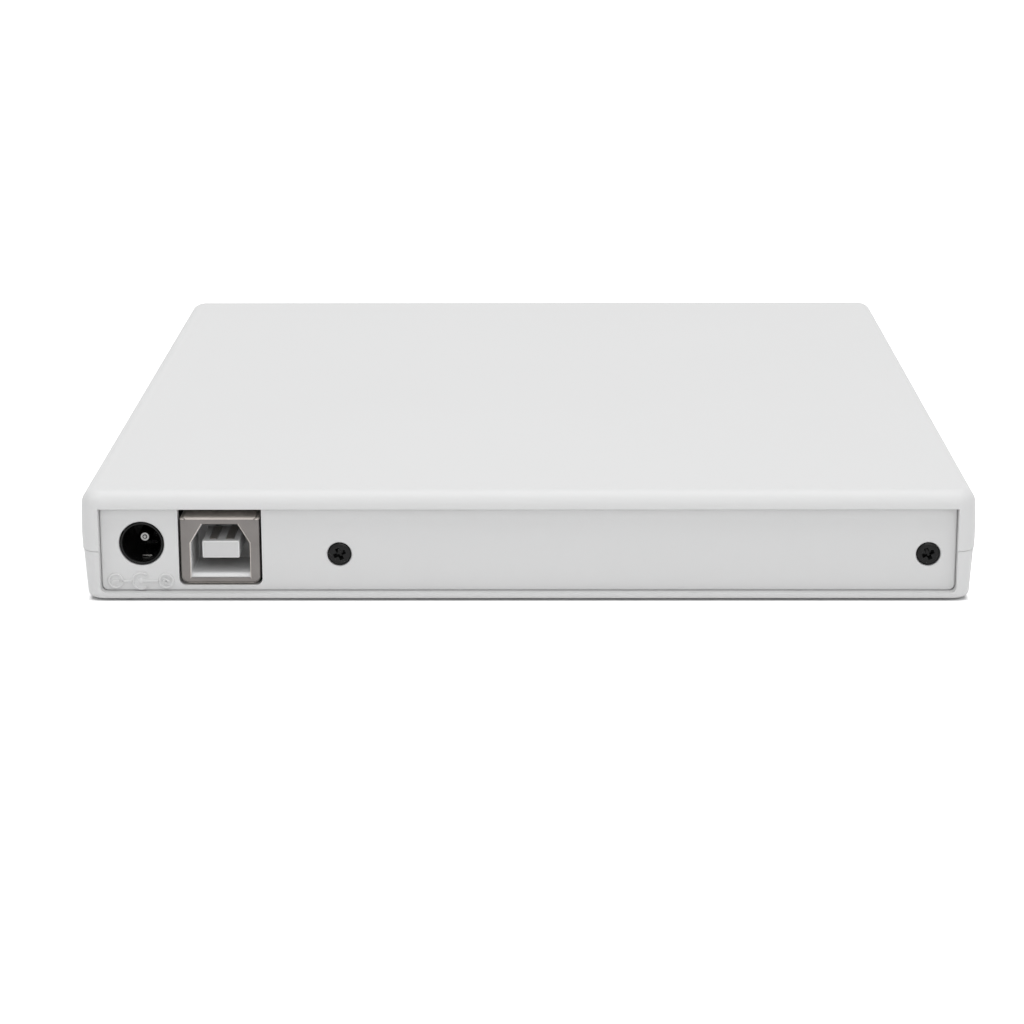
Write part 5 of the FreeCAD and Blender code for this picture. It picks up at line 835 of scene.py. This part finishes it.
# The rubber parts.
# Four feet of black rubber pressed into pockets of the floor, three soft grommets that carry the
# traverse in the tray, and the friction ring glued to the turntable under the disc.
rubber = moulded(
    "foot_rubber", dark=(0.018, 0.018, 0.019), light=(0.03, 0.03, 0.031),
    cloud=60.0, grain=1800.0, rough=(0.75, 0.9), bump=0.02,
)
finish(rubber, "rubber_feet", "traverse_grommets", "friction_ring")

# The circuit boards.
# Green glass-epoxy boards, 0.8 mm thick, with etched copper tracks that show through the solder mask:
# the interface board on pegs behind the panel, the drive's rear board, and the board under the tray.
TRACKS = 420.0
TRACK_SCATTER = 0.65
TRACK_PITCH = 0.14
TRACK_EDGE = 0.10
TRACK_COLOUR = (0.03, 0.16, 0.07)


def with_tracks(paint):
    """Adds fine square tracks to a board's colour."""
    tree = paint.node_tree
    base = tree.nodes["Principled BSDF"].inputs["Base Color"]
    plain = base.links[0].from_socket
    turn = next(node for node in tree.nodes if node.type == "MAPPING")
    cells = tree.nodes.new("ShaderNodeTexVoronoi")
    cells.feature = "F1"
    cells.distance = "MANHATTAN"
    cells.inputs["Scale"].default_value = TRACKS
    cells.inputs["Randomness"].default_value = TRACK_SCATTER
    tree.links.new(turn.outputs["Vector"], cells.inputs["Vector"])
    lines = tree.nodes.new("ShaderNodeMath")
    lines.operation = "PINGPONG"
    lines.inputs[1].default_value = TRACK_PITCH
    tree.links.new(cells.outputs["Distance"], lines.inputs[0])
    step = tree.nodes.new("ShaderNodeMath")
    step.operation = "GREATER_THAN"
    step.inputs[1].default_value = TRACK_EDGE
    tree.links.new(lines.outputs[0], step.inputs[0])
    tree.links.new(mixed(tree, step.outputs[0], plain, TRACK_COLOUR), base)
    return paint


board = moulded(
    "board_green", dark=(0.008, 0.055, 0.025), light=(0.014, 0.085, 0.04),
    cloud=300.0, grain=1500.0, rough=(0.22, 0.32), bump=0.01,
)
finish(with_tracks(board), "interface_board", "drive_board", "tray_board")

# The parts soldered on the boards.
# Chips in black epoxy with tinned gull-wing legs on both boards. The interface board also has brown
# ceramic capacitors with tinned ends, a crystal in a steel can and a wound choke, the other a socket.
BOARD_TOP = 2.5
CHIPS = (
    # body, x from, x to, y from, y to, foot level, top level
    ("case", 7.5, 16.5, 59.7, 68.7, BOARD_TOP, 3.7),
    ("tray_unit", 18.0, 30.0, 20.0, 32.0, 5.5, 6.9),
    ("tray_unit", 35.75, 42.25, 17.25, 23.75, 5.5, 6.6),
    ("tray_unit", 37.0, 43.0, 28.5, 34.5, 5.5, 6.8),
)
CHIP_EDGE = 0.12
DENT_RADIUS = 0.35
DENT_DEEP = 0.04
DENT_ASIDE = 0.9
DENT_STEPS = 16
LEG_LONG = 0.7
LEG_WIDE = 0.26
LEG_THICK = 0.14
LEG_PITCH = 0.65
LEG_KNEE = 0.6
CAPACITORS = ((1.5, 59.0), (-3.5, 59.0), (-8.5, 59.0))
CAPACITOR_SIZE = (2.0, 2.0, 1.0)
CERAMIC_INSET = (0.4, 0.35)
CERAMIC_EDGE = 0.06
END_LONG = 0.45
END_INSET = 0.3
END_EDGE = 0.1
CRYSTAL = ((20.0, 22.0), (59.0, 61.0), (BOARD_TOP, 3.5))
CRYSTAL_ROUND = 0.35
CRYSTAL_STEPS = 4
CHOKE = ((-18.0, -14.0), (66.4, 70.4), (BOARD_TOP, 4.5))
CHOKE_FLANGE = 0.5
CHOKE_ROUND = 0.2
CHOKE_EDGE = 0.05
DRUM_RADIUS = 1.6
DRUM_LONG = 1.2
DRUM_STEPS = 24
SOCKET = ((25.5, 38.5), (34.5, 37.5), (3.9, 4.7))
SOCKET_ROUND = 0.15


def boxed(shape, x, y, z, edge=0.0, steps=EDGE_STEPS):
    """Block between three pairs of levels, with its edges rounded."""
    made = bmesh.ops.create_cube(shape, size=1.0)["verts"]
    bmesh.ops.scale(shape, vec=(x[1] - x[0], y[1] - y[0], z[1] - z[0]), verts=made)
    bmesh.ops.translate(shape, vec=(sum(x) / 2, sum(y) / 2, sum(z) / 2), verts=made)
    if edge:
        sides = once_each(side for corner in made for side in corner.link_edges)
        bmesh.ops.bevel(
            shape, geom=sides, affect="EDGES", offset=edge, segments=steps, profile=0.5, material=-1
        )


def drum_of(shape, radius, long, steps, centre):
    """Upright round block about a centre."""
    made = bmesh.ops.create_cone(
        shape, cap_ends=True, cap_tris=False, segments=steps, radius1=radius, radius2=radius, depth=long
    )["verts"]
    bmesh.ops.translate(shape, vec=centre, verts=made)


def gull_leg(shape, across, start, inwards, low, high, along_x):
    """Leg bent twice, from its foot on the board to the side of its chip, along Y or along X."""
    knee = start + inwards * LEG_LONG * LEG_KNEE
    rise = (low + high) / 2
    for ends, levels in (
        ((start, knee), (low, low + LEG_THICK)),
        ((knee, knee + inwards * LEG_THICK), (low, rise)),
        ((knee, start + inwards * LEG_LONG), (rise - LEG_THICK, rise)),
    ):
        along = sorted(ends)
        x, y = (along, across) if along_x else (across, along)
        boxed(shape, x, y, levels)


epoxy = moulded(
    "chip_black", dark=(0.010, 0.010, 0.011), light=(0.018, 0.018, 0.02),
    cloud=400.0, grain=2500.0, rough=(0.42, 0.55), bump=0.01,
)
solder = moulded(
    "tinned_legs", dark=(0.52, 0.52, 0.51), light=(0.66, 0.66, 0.65),
    cloud=500.0, grain=2600.0, rough=(0.20, 0.34), bump=0.006, metal=1.0,
)
ceramic = moulded(
    "capacitor_brown", dark=(0.20, 0.12, 0.07), light=(0.28, 0.18, 0.11),
    cloud=500.0, grain=2600.0, rough=(0.35, 0.5), bump=0.008,
)
for owner, node in (("case", "board_parts"), ("tray_unit", "tray_board_parts")):
    cases, legs = bmesh.new(), bmesh.new()
    for body, x0, x1, y0, y1, low, high in CHIPS:
        if body != owner:
            continue
        inner_x, inner_y = (x0 + LEG_LONG, x1 - LEG_LONG), (y0 + LEG_LONG, y1 - LEG_LONG)
        boxed(cases, inner_x, inner_y, (low + LEG_THICK, high), edge=CHIP_EDGE)
        mark = (inner_x[0] + DENT_ASIDE, inner_y[0] + DENT_ASIDE, high)
        drum_of(cases, DENT_RADIUS, DENT_DEEP, DENT_STEPS, mark)
        room = inner_x[1] - inner_x[0]
        count = int((room - LEG_WIDE) / LEG_PITCH)
        for i in range(count):
            aside = (room - (count - 1) * LEG_PITCH) / 2 + i * LEG_PITCH
            leg = (aside - LEG_WIDE / 2, aside + LEG_WIDE / 2)
            x = [inner_x[0] + side for side in leg]
            y = [inner_y[0] + side for side in leg]
            for start, inwards in ((y0, 1.0), (y1, -1.0)):
                gull_leg(legs, x, start, inwards, low, high, along_x=False)
            for start, inwards in ((x0, 1.0), (x1, -1.0)):
                gull_leg(legs, y, start, inwards, low, high, along_x=True)
    if owner == "tray_unit":
        boxed(cases, *SOCKET, edge=SOCKET_ROUND)
    chips = finished(f"{owner}_chips", cases, epoxy)
    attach(chips, owner)
    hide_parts(node)
    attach(finished(f"{owner}_chip_legs", legs, solder), owner)
shape, ends = bmesh.new(), bmesh.new()
wide, deep, tall = CAPACITOR_SIZE
level = (BOARD_TOP, BOARD_TOP + tall)
for x, y in CAPACITORS:
    inset_x, inset_y = CERAMIC_INSET
    boxed(shape, (x + inset_x, x + wide - inset_x), (y + inset_y, y + deep - inset_y), level, CERAMIC_EDGE)
    across = (y + END_INSET, y + deep - END_INSET)
    boxed(ends, (x, x + END_LONG), across, level, END_EDGE)
    boxed(ends, (x + wide - END_LONG, x + wide), across, level, END_EDGE)
boxed(ends, *CRYSTAL, edge=CRYSTAL_ROUND, steps=CRYSTAL_STEPS)
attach(finished("board_capacitors", shape, ceramic), "case")
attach(finished("board_crystal_and_ends", ends, solder), "case")
shape = bmesh.new()
choke_x, choke_y, (low, high) = CHOKE
for level in ((low, low + CHOKE_FLANGE), (high - CHOKE_FLANGE, high)):
    boxed(shape, choke_x, choke_y, level, CHOKE_ROUND)
centre = (sum(choke_x) / 2, sum(choke_y) / 2, (low + high) / 2)
drum_of(shape, DRUM_RADIUS, DRUM_LONG, DRUM_STEPS, centre)
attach(finished("board_choke", shape, epoxy, edge=CHOKE_EDGE), "case")

# The black moulded parts of the circuits.
# Glass-filled nylon housings: the receptacle and the plug that join the drive to its interface board,
# the eject switch, and the lens holder with its printed coils.
finish(epoxy, "drive_receptacle", "drive_plug", "eject_switch", "lens_holder")

# The natural-coloured moulded parts.
# White acetal, which slides without grease: the rail guides, the follower on the lead screw, the lock
# hook and the ejector's plunger. They clip or slide into place.
acetal = moulded(
    "white_acetal", dark=(0.60, 0.60, 0.595), light=(0.66, 0.66, 0.655),
    cloud=90.0, grain=2400.0, rough=(0.35, 0.45), bump=0.008,
)
finish(acetal, "rail_guides", "screw_follower", "lock_hook", "ejector_plunger")

# The contacts of the data socket.
# Strips of phosphor bronze with a thin gold flash, pressed into the grooves of the tongue.
flash = moulded(
    "contact_metal", dark=(0.24, 0.225, 0.21), light=(0.34, 0.32, 0.30),
    cloud=300.0, grain=2600.0, rough=(0.30, 0.42), bump=0.004, metal=0.6,
)
finish(flash, "usb_contacts")

# The pressed steel parts.
# Zinc-coated sheet steel with a faint rolling direction: the drive's pan and cover, the plate under the
# tray, the traverse, the motor's brackets and the two slide rails. The traverse's cover is painted.
sheet = moulded(
    "sheet_steel", dark=(0.25, 0.255, 0.26), light=(0.36, 0.365, 0.37),
    cloud=120.0, grain=2400.0, rough=(0.28, 0.42), bump=0.006, metal=1.0, stretch=(1.0, 0.12, 1.0),
)
finish(sheet, "drive_chassis", "drive_cover", "tray_bottom_plate", "traverse_frame", "motor_bracket")
finish(sheet, "spindle_base", "right_slide_rail", "left_slide_rail")
painted = moulded(
    "painted_steel", dark=(0.020, 0.020, 0.022), light=(0.032, 0.032, 0.034),
    cloud=70.0, grain=1500.0, rough=(0.40, 0.52), bump=0.012, metal=0.2,
)
finish(painted, "traverse_cover")

# The ground and turned steel parts.
# Bright steel, turned or ground on a lathe: the spindle's bell and shaft, the guide shafts, the lead
# screw, the sled motor's can and the ejector's spring.
ground = moulded(
    "ground_steel", dark=(0.38, 0.38, 0.39), light=(0.50, 0.50, 0.51),
    cloud=200.0, grain=3000.0, rough=(0.12, 0.22), bump=0.003, metal=1.0,
)
finish(ground, "spindle_rotor", "spindle_shaft", "guide_shafts", "sled_motor", "lead_screw", "ejector_spring")

# The tray and the hub.
# Black ABS with a fine spark-eroded grain: the tray that carries the disc, and the hub with its three
# sprung claws in glossier acetal.
tray_black = moulded(
    "tray_plastic", dark=(0.020, 0.020, 0.022), light=(0.030, 0.030, 0.032),
    cloud=50.0, grain=2000.0, rough=(0.45, 0.60), bump=0.02,
)
finish(tray_black, "tray")
hub_black = moulded(
    "hub_plastic", dark=(0.022, 0.022, 0.024), light=(0.034, 0.034, 0.036),
    cloud=150.0, grain=2400.0, rough=(0.24, 0.34), bump=0.006,
)
finish(hub_black, "spindle_hub", "hub_claw_a", "hub_claw_b", "hub_claw_c")

# The lamp's light pipe.
# A clear polycarbonate rod that leads the light of the tray board's lamp to the bezel.
clear = moulded(
    "clear_plastic", dark=(0.50, 0.56, 0.50), light=(0.62, 0.68, 0.62),
    cloud=80.0, grain=2000.0, rough=(0.08, 0.16), bump=0.002,
)
finish(clear, "lamp_light_pipe")

# The windings and magnets.
# Enamelled copper wire wound on the stator's teeth and on the lock's solenoid, and sintered magnets:
# the ring in the bell, and the two beside the lens holder.
copper = moulded(
    "winding_copper", dark=(0.30, 0.10, 0.03), light=(0.52, 0.22, 0.08),
    cloud=900.0, grain=3000.0, rough=(0.2, 0.35), bump=0.02, metal=1.0,
)
finish(copper, "spindle_stator", "lock_solenoid")
magnet = moulded(
    "magnet_grey", dark=(0.04, 0.04, 0.042), light=(0.07, 0.07, 0.072),
    cloud=300.0, grain=2600.0, rough=(0.45, 0.6), bump=0.01, metal=0.6,
)
finish(magnet, "rotor_magnet", "actuator_magnets")

# The pickup and its lenses.
# A die-cast zinc body that slides on two shafts, and two coated glass lenses, one for each laser.
zinc = moulded(
    "pickup_metal", dark=(0.26, 0.26, 0.265), light=(0.36, 0.36, 0.365),
    cloud=150.0, grain=2200.0, rough=(0.38, 0.5), bump=0.015, metal=0.9,
)
finish(zinc, "pickup_body")
lens = moulded(
    "lens_glass", dark=(0.06, 0.07, 0.16), light=(0.09, 0.12, 0.24),
    cloud=80.0, grain=3000.0, rough=(0.03, 0.06), bump=0.001,
)
lens.node_tree.nodes["Principled BSDF"].inputs["Coat Weight"].default_value = 1.0
finish(lens, "objective_lenses")

# The flat leads.
# Printed conductors between two brown polyimide films, 0.12 mm thick. Each lies folded in a loop and is
# clamped at both ends. On the drive the loop rolls on as the tray and the pickup move; here it is drawn
# still.
LEAD_THICK = 0.12
LEAD_STEPS = 60
LOOP_STEPS = 8
LEAD_LINES = 1900.0
LEAD_LINE_COLOUR = (0.40, 0.22, 0.08)
# across, low level, high level, bend, start, end
TRAY_LEAD = ((26.0, 38.0), 2.69, 3.81, -27.35, 51.2, 37.4)
PICKUP_LEAD = ((-13.0, -6.0), 3.48, 4.0, 45.65, -22.0, 24.0)
TRAY_LEAD_ROLL = 0.5
PICKUP_LEAD_ROLL = 0.4
SPINDLE_Y = -8.0
SLED_ANGLE = -45.0
SLED_TURN = (
    Matrix.Translation((0.0, SPINDLE_Y, 0.0))
    @ Matrix.Rotation(math.radians(SLED_ANGLE), 4, "Z")
    @ Matrix.Scale(-1.0, 4, ALONG_Y)
)


def folded_lead(name, across, low, high, bend, start, end, way, matrix, paint):
    """Strip that runs from start to the bend at the low level and back to the end at the high one."""
    shape = bmesh.new()
    radius = (high - low) / 2
    centre = (low + high) / 2
    fold = [(start + (bend - start) * i / LEAD_STEPS, low) for i in range(LEAD_STEPS)]
    for i in range(LOOP_STEPS + 1):
        turn = math.pi * i / LOOP_STEPS
        fold.append((bend + way * radius * math.sin(turn), centre - radius * math.cos(turn)))
    fold += [(bend + (end - bend) * i / LEAD_STEPS, high) for i in range(1, LEAD_STEPS + 1)]
    _, line = line_of(shape, [(across[0], y, z) for y, z in fold])
    pushed_out(shape, line, (across[1] - across[0], 0.0, 0.0))
    bmesh.ops.transform(shape, matrix=matrix, verts=shape.verts)
    return finished(name, shape, paint, sheet=LEAD_THICK)


def lead_paint(name, turn):
    """Brown film over bright lines that run along a lead turned by an angle about Z."""
    paint = moulded(
        name, dark=(0.20, 0.10, 0.03), light=(0.28, 0.145, 0.045),
        cloud=120.0, grain=2500.0, rough=(0.2, 0.3), bump=0.004,
    )
    tree = paint.node_tree
    base = tree.nodes["Principled BSDF"].inputs["Base Color"]
    plain = base.links[0].from_socket
    place = next(node for node in tree.nodes if node.type == "TEX_COORD")
    spin = tree.nodes.new("ShaderNodeMapping")
    spin.inputs["Rotation"].default_value = (0.0, 0.0, math.radians(turn))
    tree.links.new(place.outputs["Object"], spin.inputs["Vector"])
    wave = tree.nodes.new("ShaderNodeTexWave")
    wave.bands_direction = "X"
    wave.inputs["Scale"].default_value = LEAD_LINES / math.tau
    tree.links.new(spin.outputs["Vector"], wave.inputs["Vector"])
    tree.links.new(mixed(tree, wave.outputs["Fac"], plain, LEAD_LINE_COLOUR), base)
    return paint


def rolling(low, high, bend, start, end, bend_share):
    """Start and end of a blend that holds the low run still and moves the bend by only a share."""
    along = (1.0 - bend_share) / (end - bend)
    below = along * (start - bend)
    rise = (bend_share + below) / (high - low)
    scale = along * along + rise * rise
    foot = Vector((0.0, bend, low + below / rise))
    return foot, foot + Vector((0.0, along / scale, rise / scale))


lead = folded_lead("tray_lead", *TRAY_LEAD, -1.0, Matrix.Identity(4), lead_paint("lead_film", 0.0))
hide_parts("tray_ribbon")
foot, head = rolling(*TRAY_LEAD[1:], TRAY_LEAD_ROLL)
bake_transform(lead)
turned_paint = lead_paint("lead_film_turned", -SLED_ANGLE)
lead = folded_lead("pickup_lead", *PICKUP_LEAD, 1.0, SLED_TURN, turned_paint)
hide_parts("pickup_ribbon")
foot, head = rolling(*PICKUP_LEAD[1:], PICKUP_LEAD_ROLL)
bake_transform(lead)
